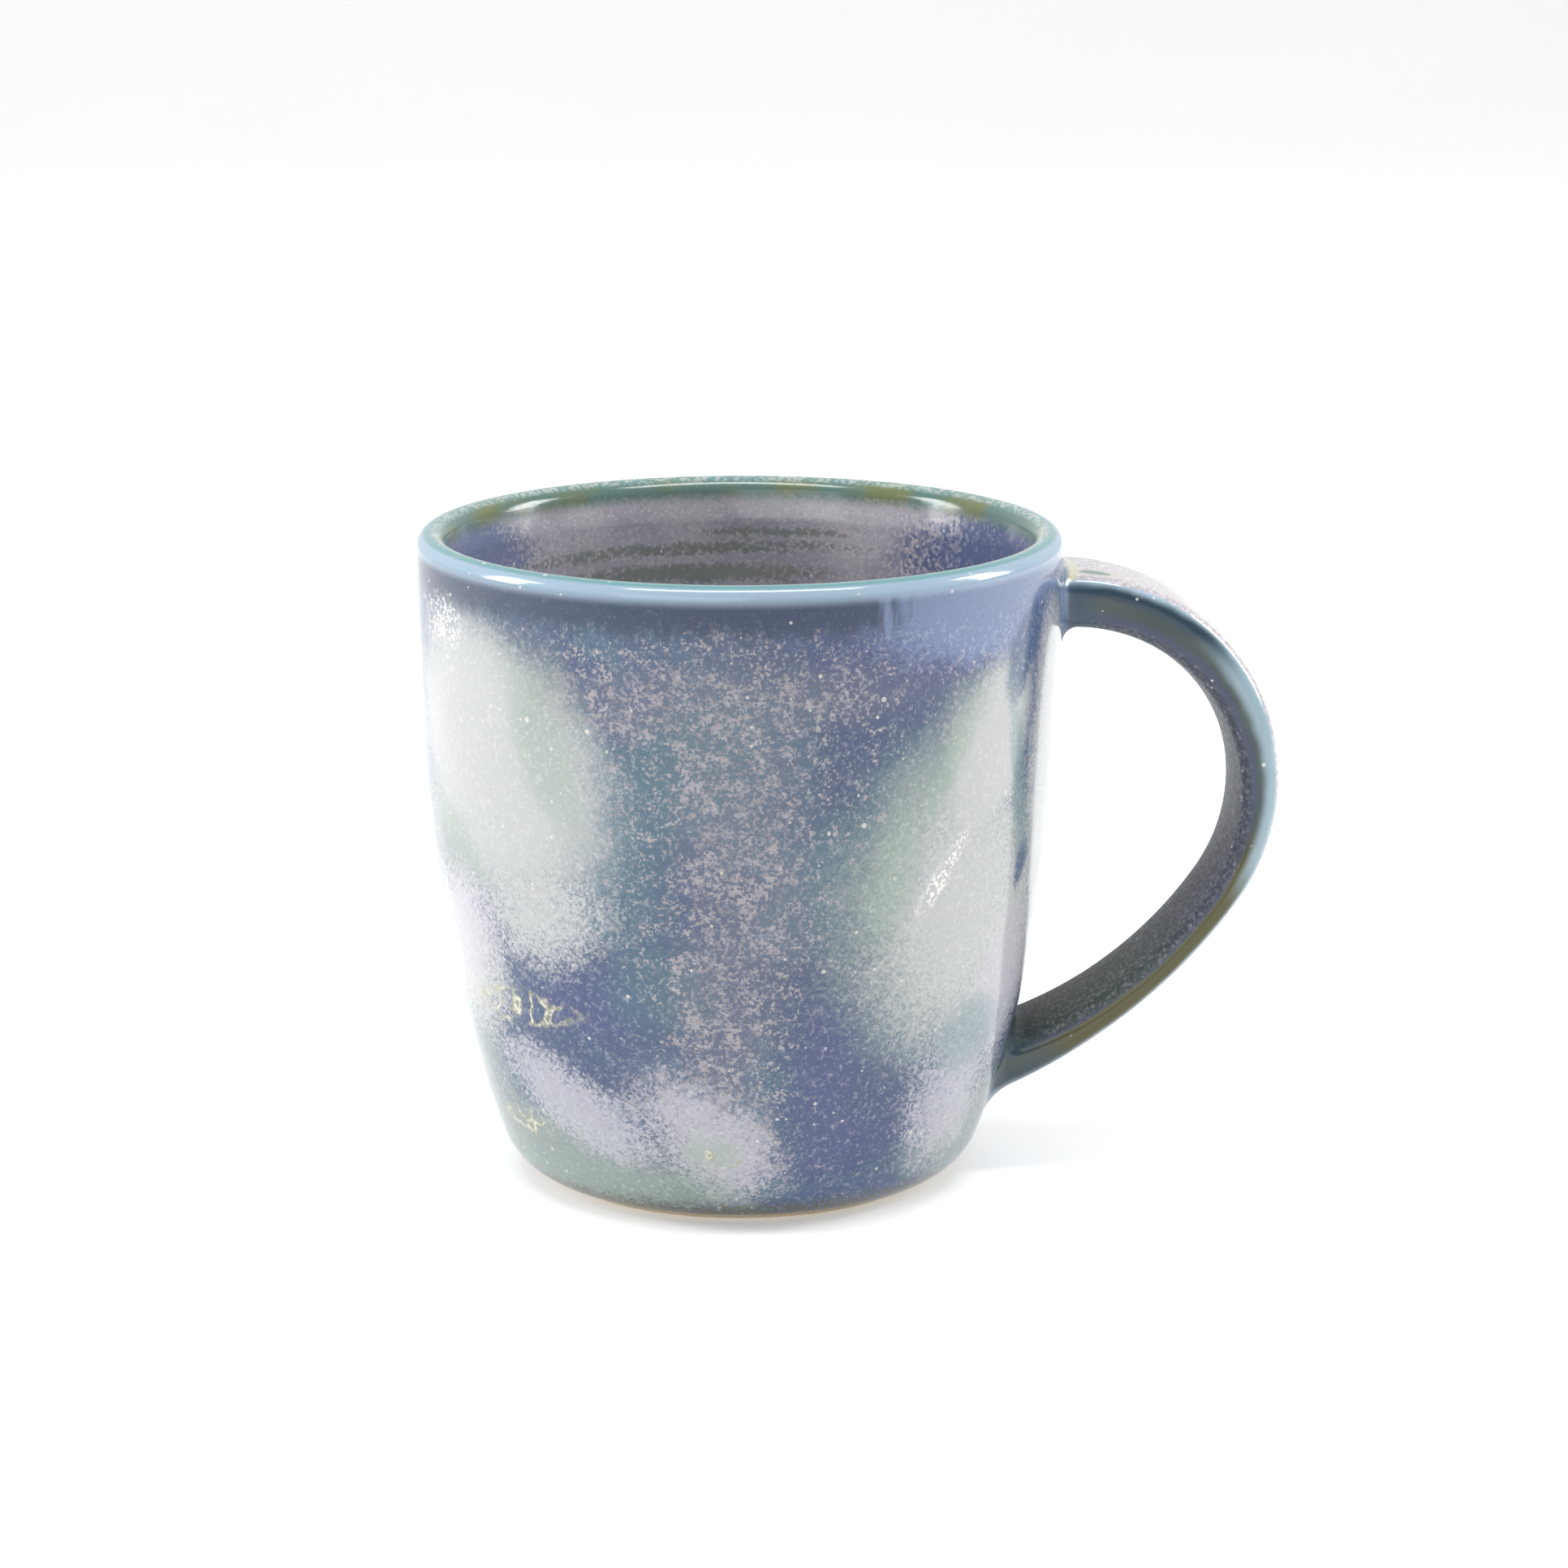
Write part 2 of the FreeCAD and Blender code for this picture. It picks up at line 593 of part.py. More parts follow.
def check_document():
    """Stops at any object that failed, and at any sub-part that isn't one valid solid."""
    for item in doc.Objects:
        failed = {"Invalid", "Error"}.intersection(item.State)
        if failed:
            raise RuntimeError(f"{item.Label}: {sorted(failed)}")
    for part in SUBPARTS:
        shape = part.Shape
        if shape.isNull() or not shape.isValid() or len(shape.Solids) != 1:
            raise RuntimeError(f"{part.Label}: not one valid solid")


doc.recompute()
check_document()
os.makedirs("parts", exist_ok=True)
for part in SUBPARTS:
    part.Shape.exportStep(f"parts/{part.Label}.step")
    print(f"{part.Label}: {part.Shape.Volume / 1000:.2f} cm3")
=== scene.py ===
import math
from collections import namedtuple

import bmesh
import bpy
import numpy as np
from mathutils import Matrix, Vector


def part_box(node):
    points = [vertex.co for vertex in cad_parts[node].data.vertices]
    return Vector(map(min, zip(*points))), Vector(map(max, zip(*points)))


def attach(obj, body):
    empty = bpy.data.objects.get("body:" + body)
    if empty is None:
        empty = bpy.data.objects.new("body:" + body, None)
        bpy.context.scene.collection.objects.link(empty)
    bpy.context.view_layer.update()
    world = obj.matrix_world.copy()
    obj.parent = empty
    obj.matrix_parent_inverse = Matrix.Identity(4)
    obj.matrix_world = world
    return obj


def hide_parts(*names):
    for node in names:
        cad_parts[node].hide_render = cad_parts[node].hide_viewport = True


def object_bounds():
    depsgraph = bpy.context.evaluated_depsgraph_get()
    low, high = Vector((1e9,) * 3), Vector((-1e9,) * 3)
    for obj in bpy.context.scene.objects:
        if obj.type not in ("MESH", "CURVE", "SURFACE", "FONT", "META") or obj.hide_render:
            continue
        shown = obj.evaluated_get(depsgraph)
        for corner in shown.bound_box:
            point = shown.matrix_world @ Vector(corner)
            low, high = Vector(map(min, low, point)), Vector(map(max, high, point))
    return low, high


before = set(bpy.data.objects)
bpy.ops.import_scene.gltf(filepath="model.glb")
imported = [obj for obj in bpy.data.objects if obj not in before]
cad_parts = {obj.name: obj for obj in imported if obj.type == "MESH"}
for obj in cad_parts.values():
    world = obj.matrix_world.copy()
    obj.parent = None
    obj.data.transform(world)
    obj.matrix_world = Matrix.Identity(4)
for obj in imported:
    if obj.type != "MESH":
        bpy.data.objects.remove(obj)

cad_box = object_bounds()

# Lengths in this script are millimetres until a mesh or a lamp is made.
MM = 0.001
RIM_RADIUS = -cad_box[0].x / MM
HEIGHT = cad_box[1].z / MM
GLAZE = (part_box("base_glaze")[1].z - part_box("base_glaze")[0].z) / MM
CLAY_WALL = 3.1
LEAST_RADIUS = 1e-6                  # nearer the axis than this, a point is on it

# How far apart an outline's points are: close where it curves and shows, wide where it is hidden.
LIP_STEP, WALL_STEP, CORNER_STEP, ROLL_STEP, INSIDE_STEP = 0.22, 0.9, 0.5, 0.12, 0.7
HIDDEN_LIP_STEP, HIDDEN_WALL_STEP, HIDDEN_CORNER_STEP, HIDDEN_FLOOR_STEP = 0.4, 2.2, 1.6, 3.0
OUTSIDE_SEGMENTS, INSIDE_SEGMENTS, BASE_SEGMENTS = 320, 288, 128


# ---------------------------------------------------------------- circles that shape the mug

Circle = namedtuple("Circle", "across up radius")       # across is the distance from the mug's axis


def circle_below(above, radius, level):
    """A smaller circle that touches another from inside, with its centre at that level."""
    gap = above.radius - radius
    across = above.across + math.sqrt(gap ** 2 - (above.up - level) ** 2)
    return Circle(across, level, radius)


def reaching(reach, level, radius):
    """A circle by how far out it reaches, the height of its centre and its radius."""
    return Circle(reach - radius, level, radius)


def grown(circle, growth):
    return Circle(circle.across, circle.up, circle.radius + growth)


def angle_of_join(above, below):
    """The angle, from both centres, of the point where two touching circles meet."""
    return math.atan2(below.up - above.up, below.across - above.across)


UPPER_WALL = reaching(RIM_RADIUS, level=83.0, radius=352.0)
BELLY = circle_below(UPPER_WALL, radius=156.0, level=61.3)
CORNER = circle_below(BELLY, radius=9.4, level=9.65)
LIP_RADIUS = CLAY_WALL / 2 + GLAZE
LIP_LEVEL = HEIGHT - LIP_RADIUS
LIP_LEAN = math.asin((LIP_LEVEL - UPPER_WALL.up) / (UPPER_WALL.radius - LIP_RADIUS))
LIP_MIDDLE = UPPER_WALL.across + (UPPER_WALL.radius - LIP_RADIUS) * math.cos(LIP_LEAN)
LIP = Circle(LIP_MIDDLE, LIP_LEVEL, LIP_RADIUS)
INSIDE_DEPTH = CLAY_WALL + 2 * GLAZE
INSIDE_CORNER_RADIUS = 15.0 - GLAZE
FLOOR_LEVEL = 7.65                   # the glazed floor, above the surface
TOE_LEVEL = 1.2                      # where the outside glaze ends, above the surface
CLAY_TOE_LEVEL = 1.17                # the same on the clay side of the coat


# The strap of the handle is a round bow and a longer sweep on each side, seen from the front.

def bow_circle(reach, top, radius):
    """A bow by how far out and how high it reaches."""
    return Circle(reach - radius, top - radius, radius)


def sweep_after(bow, radius, level):
    """The sweep circle that continues a bow, and the angle from the bow's centre where it does."""
    gap = radius - bow.radius
    drop = math.asin((level - bow.up) / gap)
    sweep = Circle(bow.across - gap * math.cos(drop), bow.up + gap * math.sin(drop), radius)
    return sweep, -drop


OUTER_BOW = bow_circle(reach=75.4, top=86.0, radius=29.8)
OUTER_SWEEP, OUTER_JOIN = sweep_after(OUTER_BOW, radius=79.4, level=85.0)
INNER_BOW = bow_circle(reach=70.0, top=78.45, radius=24.25)
INNER_SWEEP, INNER_JOIN = sweep_after(INNER_BOW, radius=55.3, level=71.9)
STRAP_WIDTH = 18.0
STRAP_EDGE = 2.2                     # the rounding of its long edges
EDGE_FLAT = 0.16                     # the least flat left between two roundings
ROOT_FILLET = 2.2
STRAP_START, STRAP_END = 106.0, -72.0     # angles where the strap's run begins and ends, inside the wall
OUTER_CROWN = 0.12                   # how much lower the glaze is at the long edges than in the middle
INNER_CROWN = 0.9                    # the same on the finger side

STRAP_STEP, HIDDEN_STRAP_STEP = 0.8, 2.4            # between rings along the strap
EDGE_STEPS, FACE_STEPS, SIDE_STEPS = 9, 18, 4       # points of a ring, per rounding, face and side
RUN_IN_STEPS, FILLET_STEPS = 8, 12                  # rings at a root, before and round its fillet
SLIDES, SETTLES = 14, 6                             # rounds of correction, enough to come to rest


# ---------------------------------------------------------------- meshes

def arc_points(circle, start, end, spacing):
    """Points along a circle from one angle to another, the last one left out."""
    count = max(2, round(abs(end - start) * circle.radius / spacing))
    angles = [start + (end - start) * step / count for step in range(count)]
    return [(circle.across + circle.radius * math.cos(angle), circle.up + circle.radius * math.sin(angle))
            for angle in angles]


def straight_points(start, end, spacing):
    count = max(1, round(math.dist(start, end) / spacing))
    return [(start[0] + (end[0] - start[0]) * step / count, start[1] + (end[1] - start[1]) * step / count)
            for step in range(count)]


def make_object(name, vertices, faces, material, sharp_angle=40.0):
    """A smooth-shaded mesh object, made from points in millimetres."""
    mesh = bpy.data.meshes.new(name)
    mesh.from_pydata([(x * MM, y * MM, z * MM) for x, y, z in vertices], [], faces)
    cleaner = bmesh.new()
    cleaner.from_mesh(mesh)
    bmesh.ops.recalc_face_normals(cleaner, faces=cleaner.faces)
    cleaner.to_mesh(mesh)
    cleaner.free()
    mesh.polygons.foreach_set("use_smooth", [True] * len(mesh.polygons))
    mesh.set_sharp_from_angle(angle=math.radians(sharp_angle))
    mesh.materials.append(material)
    made = bpy.data.objects.new(name, mesh)
    bpy.context.scene.collection.objects.link(made)
    return made


def ring_faces(first, second, count):
    """Quads between two closed rings of vertices, given where each ring starts."""
    return [(first + i, first + (i + 1) % count, second + (i + 1) % count, second + i) for i in range(count)]


def lathe(name, outline, material, segments, unevenness=None):
    """Turns a closed outline round the mug's axis. Points on the axis become one vertex."""
    vertices, faces, starts = [], [], []
    for across, up in outline:
        starts.append((len(vertices), across < LEAST_RADIUS))
        turns = 1 if across < LEAST_RADIUS else segments
        for turn in range(turns):
            angle = 2 * math.pi * turn / segments
            radius = across + (unevenness(angle, up) if unevenness else 0.0)
            vertices.append((radius * math.cos(angle), radius * math.sin(angle), up))
    for row, (start, on_axis) in enumerate(starts):
        following, next_on_axis = starts[(row + 1) % len(starts)]
        if on_axis and next_on_axis:
            continue
        if on_axis:
            faces += [(start, following + i, following + (i + 1) % segments) for i in range(segments)]
        elif next_on_axis:
            faces += [(following, start + (i + 1) % segments, start + i) for i in range(segments)]
        else:
            faces += ring_faces(start, following, segments)
    return make_object(name, vertices, faces, material)


def throwing_marks(angle, up):
    """A hand-thrown wall is never quite round: a few broad, very shallow waves, never outwards."""
    depth, handle_room = 0.035, 22
    waves = [math.sin(2 * angle + up / 21), math.sin(3 * angle - up / 13 + 1.7),
             math.sin(up / 5.3 + angle + 0.4)]
    away_from_rim = min(1.0, max(0.0, (HEIGHT - 4 - up) / 12))
    away_from_toe = min(1.0, max(0.0, (up - 8) / 10))
    away_from_handle = 1 - math.exp(-(math.sin(angle / 2) * 2 * RIM_RADIUS / handle_room) ** 2)
    return depth * (sum(waves) - len(waves)) * away_from_rim * away_from_toe * away_from_handle


def outside_outline():
    """The glossy side from the lip's crest down to the toe, then the clay side back up."""
    wall_join = angle_of_join(UPPER_WALL, BELLY)
    corner_join = angle_of_join(BELLY, CORNER)
    toe = -math.asin((CORNER.up - TOE_LEVEL) / CORNER.radius)
    points = arc_points(LIP, math.pi / 2, LIP_LEAN, LIP_STEP)
    points += arc_points(UPPER_WALL, LIP_LEAN, wall_join, WALL_STEP)
    points += arc_points(BELLY, wall_join, corner_join, WALL_STEP)
    points += arc_points(CORNER, corner_join, toe, CORNER_STEP)
    clay_corner = grown(CORNER, -GLAZE)
    clay_toe = -math.asin((CORNER.up - CLAY_TOE_LEVEL) / clay_corner.radius)
    # the glaze ends in a thick rounded drip line just above the foot
    toe_roll = Circle(CORNER.across + (CORNER.radius - GLAZE / 2) * math.cos(toe),
                      CORNER.up + (CORNER.radius - GLAZE / 2) * math.sin(toe), GLAZE / 2)
    points += arc_points(toe_roll, toe, toe - math.pi, ROLL_STEP)
    points += arc_points(clay_corner, clay_toe, corner_join, HIDDEN_CORNER_STEP)
    points += arc_points(grown(BELLY, -GLAZE), corner_join, wall_join, HIDDEN_WALL_STEP)
    points += arc_points(grown(UPPER_WALL, -GLAZE), wall_join, LIP_LEAN, HIDDEN_WALL_STEP)
    points += arc_points(grown(LIP, -GLAZE), LIP_LEAN, math.pi / 2, HIDDEN_LIP_STEP)
    points.append((LIP.across, LIP.up + LIP.radius - GLAZE))
    return points


def inside_circles(extra):
    """The circles of the inside wall and its bottom corner, extra deeper into the clay."""
    upper = grown(UPPER_WALL, extra - INSIDE_DEPTH)
    belly = grown(BELLY, extra - INSIDE_DEPTH)
    radius = INSIDE_CORNER_RADIUS + extra
    level = FLOOR_LEVEL + INSIDE_CORNER_RADIUS
    return upper, belly, circle_below(belly, radius, level)


def inside_ripple(up):
    """Faint rings left by the fingers, strongest low in the cup."""
    depth, top, growing, wave = 0.07, 84, 30, 1.15
    strength = min(1.0, max(0.0, (top - up) / growing))
    return depth * strength * (math.cos(up / wave) - 1)


def floor_spiral(across, edge):
    """The potter's spiral on the floor, which fades out at the floor's edge."""
    depth, wave, fading = 0.09, 1.1, 4
    return depth * (1 - math.cos(across / wave)) * min(1.0, (edge - across) / fading)


def inside_outline():
    """The glossy side from the lip's crest down to the middle of the floor, then the clay side back."""
    lip_end = math.pi + LIP_LEAN
    upper, belly, corner = inside_circles(0.0)
    wall_join = angle_of_join(upper, belly)
    corner_join = angle_of_join(belly, corner)
    points = arc_points(LIP, math.pi / 2, lip_end, LIP_STEP)
    wall = arc_points(upper, LIP_LEAN, wall_join, INSIDE_STEP)
    wall += arc_points(belly, wall_join, corner_join, INSIDE_STEP)
    points += [(across + inside_ripple(up), up) for across, up in wall]
    points += arc_points(corner, corner_join, -math.pi / 2, INSIDE_STEP)
    floor = straight_points((corner.across, FLOOR_LEVEL), (0.0, FLOOR_LEVEL), INSIDE_STEP)
    points += [(across, up + floor_spiral(across, corner.across)) for across, up in floor]
    points.append((0.0, FLOOR_LEVEL))
    upper, belly, corner = inside_circles(GLAZE)
    points.append((0.0, FLOOR_LEVEL - GLAZE))
    clay_floor = (2.0, FLOOR_LEVEL - GLAZE), (corner.across, FLOOR_LEVEL - GLAZE)
    points += straight_points(*clay_floor, HIDDEN_FLOOR_STEP)
    points += arc_points(corner, -math.pi / 2, corner_join, HIDDEN_CORNER_STEP)
    points += arc_points(belly, corner_join, wall_join, HIDDEN_WALL_STEP)
    points += arc_points(upper, wall_join, LIP_LEAN, HIDDEN_WALL_STEP)
    points += arc_points(grown(LIP, -GLAZE), lip_end, math.pi / 2, HIDDEN_LIP_STEP)
    points.append((LIP.across, LIP.up + LIP.radius - GLAZE))
    return points


def base_outline():
    """A thin pool of glaze in the foot's recess, a little thicker round its rolled edge."""
    low, high = (corner.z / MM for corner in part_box("base_glaze"))
    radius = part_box("base_glaze")[1].x / MM
    roll = Circle(radius - GLAZE / 2, low + GLAZE / 2, GLAZE / 2)
    dip = 0.06                       # how much thinner the pool is in its middle
    points = [(0.0, low + dip)]
    points += [(across, low + dip - dip * (across / roll.across) ** 3)
               for across in np.linspace(1.5, roll.across - 0.6, 24).tolist()]
    points += arc_points(roll, -math.pi / 2, math.pi / 2, 0.1)
    points += [(roll.across, high), (0.0, high)]
    return points


# ---------------------------------------------------------------- the handle's glaze

def side_distance(across, up, bow, sweep, join):
    """How far points are outside one side of the strap: its bow above the join, its sweep below."""
    on_bow = (across - bow.across) * math.sin(-join) + (up - bow.up) * math.cos(join) > 0
    from_bow = np.hypot(across - bow.across, up - bow.up) - bow.radius
    from_sweep = np.hypot(across - sweep.across, up - sweep.up) - sweep.radius
    return np.where(on_bow, from_bow, from_sweep)


def edge_radius(thickness):
    """The rounding of the strap's long edges, which leaves a little flat where the strap is thin."""
    return np.minimum(STRAP_EDGE, (thickness - EDGE_FLAT) / 2)


def strap_distance(points):
    """Signed distance from the strap's surface, a bar with a rounded, slightly crowned section."""
    across, sideways, up = points.T
    crown = (2 * sideways / STRAP_WIDTH) ** 2
    above = side_distance(across, up, OUTER_BOW, OUTER_SWEEP, OUTER_JOIN) + OUTER_CROWN * crown
    below = INNER_CROWN * (crown - 0.5) - side_distance(across, up, INNER_BOW, INNER_SWEEP, INNER_JOIN)
    edge = edge_radius(-(above + below))
    through = np.maximum(above, below) + edge
    beside = np.abs(sideways) - STRAP_WIDTH / 2 + edge
    outside = np.hypot(np.maximum(through, 0), np.maximum(beside, 0))
    return np.minimum(np.maximum(through, beside), 0) + outside - edge


def wall_distance(points):
    """Signed distance from the mug's glazed outside wall."""
    across = np.hypot(points[:, 0], points[:, 1])
    up = points[:, 2]
    join = angle_of_join(UPPER_WALL, BELLY)
    join_level = UPPER_WALL.up + UPPER_WALL.radius * math.sin(join)
    from_upper = np.hypot(across - UPPER_WALL.across, up - UPPER_WALL.up) - UPPER_WALL.radius
    from_belly = np.hypot(across - BELLY.across, up - BELLY.up) - BELLY.radius
    return np.where(up > join_level, from_upper, from_belly)


def gradient(distance, points, step=1e-4):
    columns = []
    for axis in range(3):
        shift = np.zeros(3)
        shift[axis] = step
        columns.append((distance(points + shift) - distance(points - shift)) / (2 * step))
    return np.stack(columns, axis=1)


def moved_to(points, from_wall, from_strap):
    """Slides points, across both surfaces, until they are at the given distances from each."""
    points = points.copy()
    for _ in range(SLIDES):
        wall_normal = gradient(wall_distance, points)
        strap_normal = gradient(strap_distance, points)
        wall_normal /= np.linalg.norm(wall_normal, axis=1, keepdims=True)
        strap_normal /= np.linalg.norm(strap_normal, axis=1, keepdims=True)
        shared = (wall_normal * strap_normal).sum(axis=1)
        miss_wall = from_wall - wall_distance(points)
        miss_strap = from_strap - strap_distance(points)
        scale = 1 - shared ** 2
        along_wall = (miss_wall - shared * miss_strap) / scale
        along_strap = (miss_strap - shared * miss_wall) / scale
        points += along_wall[:, None] * wall_normal + along_strap[:, None] * strap_normal
    return points


def section_loop(inner, outer):
    """Points round one cross-section of the strap, between a point on its inner and outer side."""
    inner, outer = np.array(inner), np.array(outer)
    thickness = np.linalg.norm(outer - inner)
    middle, through = (inner + outer) / 2, (outer - inner) / thickness
    edge = float(edge_radius(thickness - OUTER_CROWN - INNER_CROWN / 2))
    half_width, half_through = STRAP_WIDTH / 2 - edge, thickness / 2 - edge
    flat = []
    corners = [(half_width, half_through, 0), (-half_width, half_through, 90),
               (-half_width, -half_through, 180), (half_width, -half_through, 270)]
    for (beside, up, start), (next_beside, next_up, _) in zip(corners, corners[1:] + corners[:1]):
        for step in range(EDGE_STEPS):
            angle = math.radians(start + 90 * step / EDGE_STEPS)
            flat.append((beside + edge * math.cos(angle), up + edge * math.sin(angle)))
        turned = math.radians(start + 90)
        offset = (edge * math.cos(turned), edge * math.sin(turned))
        across_face = start in (0, 180)
        count = FACE_STEPS if across_face else SIDE_STEPS
        for step in range(count):
            part = step / count
            flat.append((beside + (next_beside - beside) * part + offset[0],
                         up + (next_up - up) * part + offset[1]))
    return np.array([(middle[0] + through[0] * up, beside, middle[1] + through[1] * up)
                     for beside, up in flat])


def strap_stations(spacing):
    """Pairs of points on the strap's inner and outer side, from the upper root to the lower one."""
    upper_start = math.radians(STRAP_START)
    lower_end = math.radians(STRAP_END)
    outer = arc_points(OUTER_BOW, upper_start, OUTER_JOIN, spacing)
    outer += arc_points(OUTER_SWEEP, OUTER_JOIN, lower_end, spacing)
    stations = []
    for across, up in outer:
        bow_side = math.atan2(up - INNER_BOW.up, across - INNER_BOW.across)
        if bow_side > INNER_JOIN:
            circle, angle = INNER_BOW, bow_side
        else:
            circle = INNER_SWEEP
            angle = math.atan2(up - circle.up, across - circle.across)
        inner = (circle.across + circle.radius * math.cos(angle),
                 circle.up + circle.radius * math.sin(angle))
        stations.append((inner, (across, up)))
    return stations


def ring_at(track, gaps, wanted):
    """The ring whose points have each come, along their own line of the strap, this near the wall."""
    ring = []
    for line, line_gaps, gap in zip(track.transpose(1, 0, 2), gaps.T, wanted):
        after = max(int(np.argmax(line_gaps <= gap)), 1)
        part = (line_gaps[after - 1] - gap) / (line_gaps[after - 1] - line_gaps[after])
        ring.append(line[after - 1] + (line[after] - line[after - 1]) * part)
    return np.array(ring)


def root_rings(track, gaps, skin):
    """Rings from the strap's free part to the wall and round its fillet, to under the wall's glaze."""
    start = gaps[0]
    foot = ROOT_FILLET if skin == 0 else -GLAZE / 2
    rings = []
    for step in range(1, RUN_IN_STEPS + 1):
        ring = ring_at(track, gaps, start + (foot - start) * step / RUN_IN_STEPS)
        rings.append(settled(ring, skin))
    if skin == 0:
        for step in range(1, FILLET_STEPS + 1):
            turn = math.radians(90 * step / FILLET_STEPS)
            ring = moved_to(ring, foot * (1 - math.sin(turn)), foot * (1 - math.cos(turn)))
            rings.append(ring)
        rings.append(moved_to(ring, -0.05, foot + 0.5))
        rings.append(moved_to(ring, -GLAZE / 2, foot + 0.6))
    return rings


def strap_skin(skin, spacing):
    """All rings of one skin of the handle's glaze, from the upper root to the lower one."""
    loops = [section_loop(inner, outer) for inner, outer in strap_stations(spacing)]
    track = np.array([settled(loop, skin) for loop in loops])
    gaps = wall_distance(track.reshape(-1, 3)).reshape(track.shape[:2])
    clear = np.flatnonzero(gaps.min(axis=1) > ROOT_FILLET + 0.8)
    first, last = clear[0], clear[-1]
    upper = root_rings(track[first::-1], gaps[first::-1], skin)
    lower = root_rings(track[last:], gaps[last:], skin)
    return upper[::-1] + list(track[first:last + 1]) + lower


def settled(ring, skin):
    """Moves points straight along the strap's own normal onto its surface, or skin beyond it."""
    ring = ring.copy()
    for _ in range(SETTLES):
        normal = gradient(strap_distance, ring)
        normal /= np.linalg.norm(normal, axis=1, keepdims=True)
        ring += (skin - strap_distance(ring))[:, None] * normal
    return ring


def handle_coat(name, material):
    """The handle's coat of glaze, a closed shell: its glossy skin, and a skin against the clay."""
    outside = strap_skin(0.0, STRAP_STEP)
    inside = strap_skin(-0.9 * GLAZE, HIDDEN_STRAP_STEP)
    rings = outside + inside[::-1]
    count = len(rings[0])
    vertices = np.concatenate(rings).tolist()
    faces = []
    for row in range(len(rings)):
        faces += ring_faces(row * count, ((row + 1) % len(rings)) * count, count)
    return make_object(name, vertices, faces, material, sharp_angle=60.0)


# ---------------------------------------------------------------- node materials

def linear(code):
    """An sRGB hex colour as the linear colour that shaders take."""
    channels = [int(code[i:i + 2], 16) / 255 for i in (1, 3, 5)]
    return tuple(c / 12.92 if c <= 0.04045 else ((c + 0.055) / 1.055) ** 2.4 for c in channels) + (1.0,)


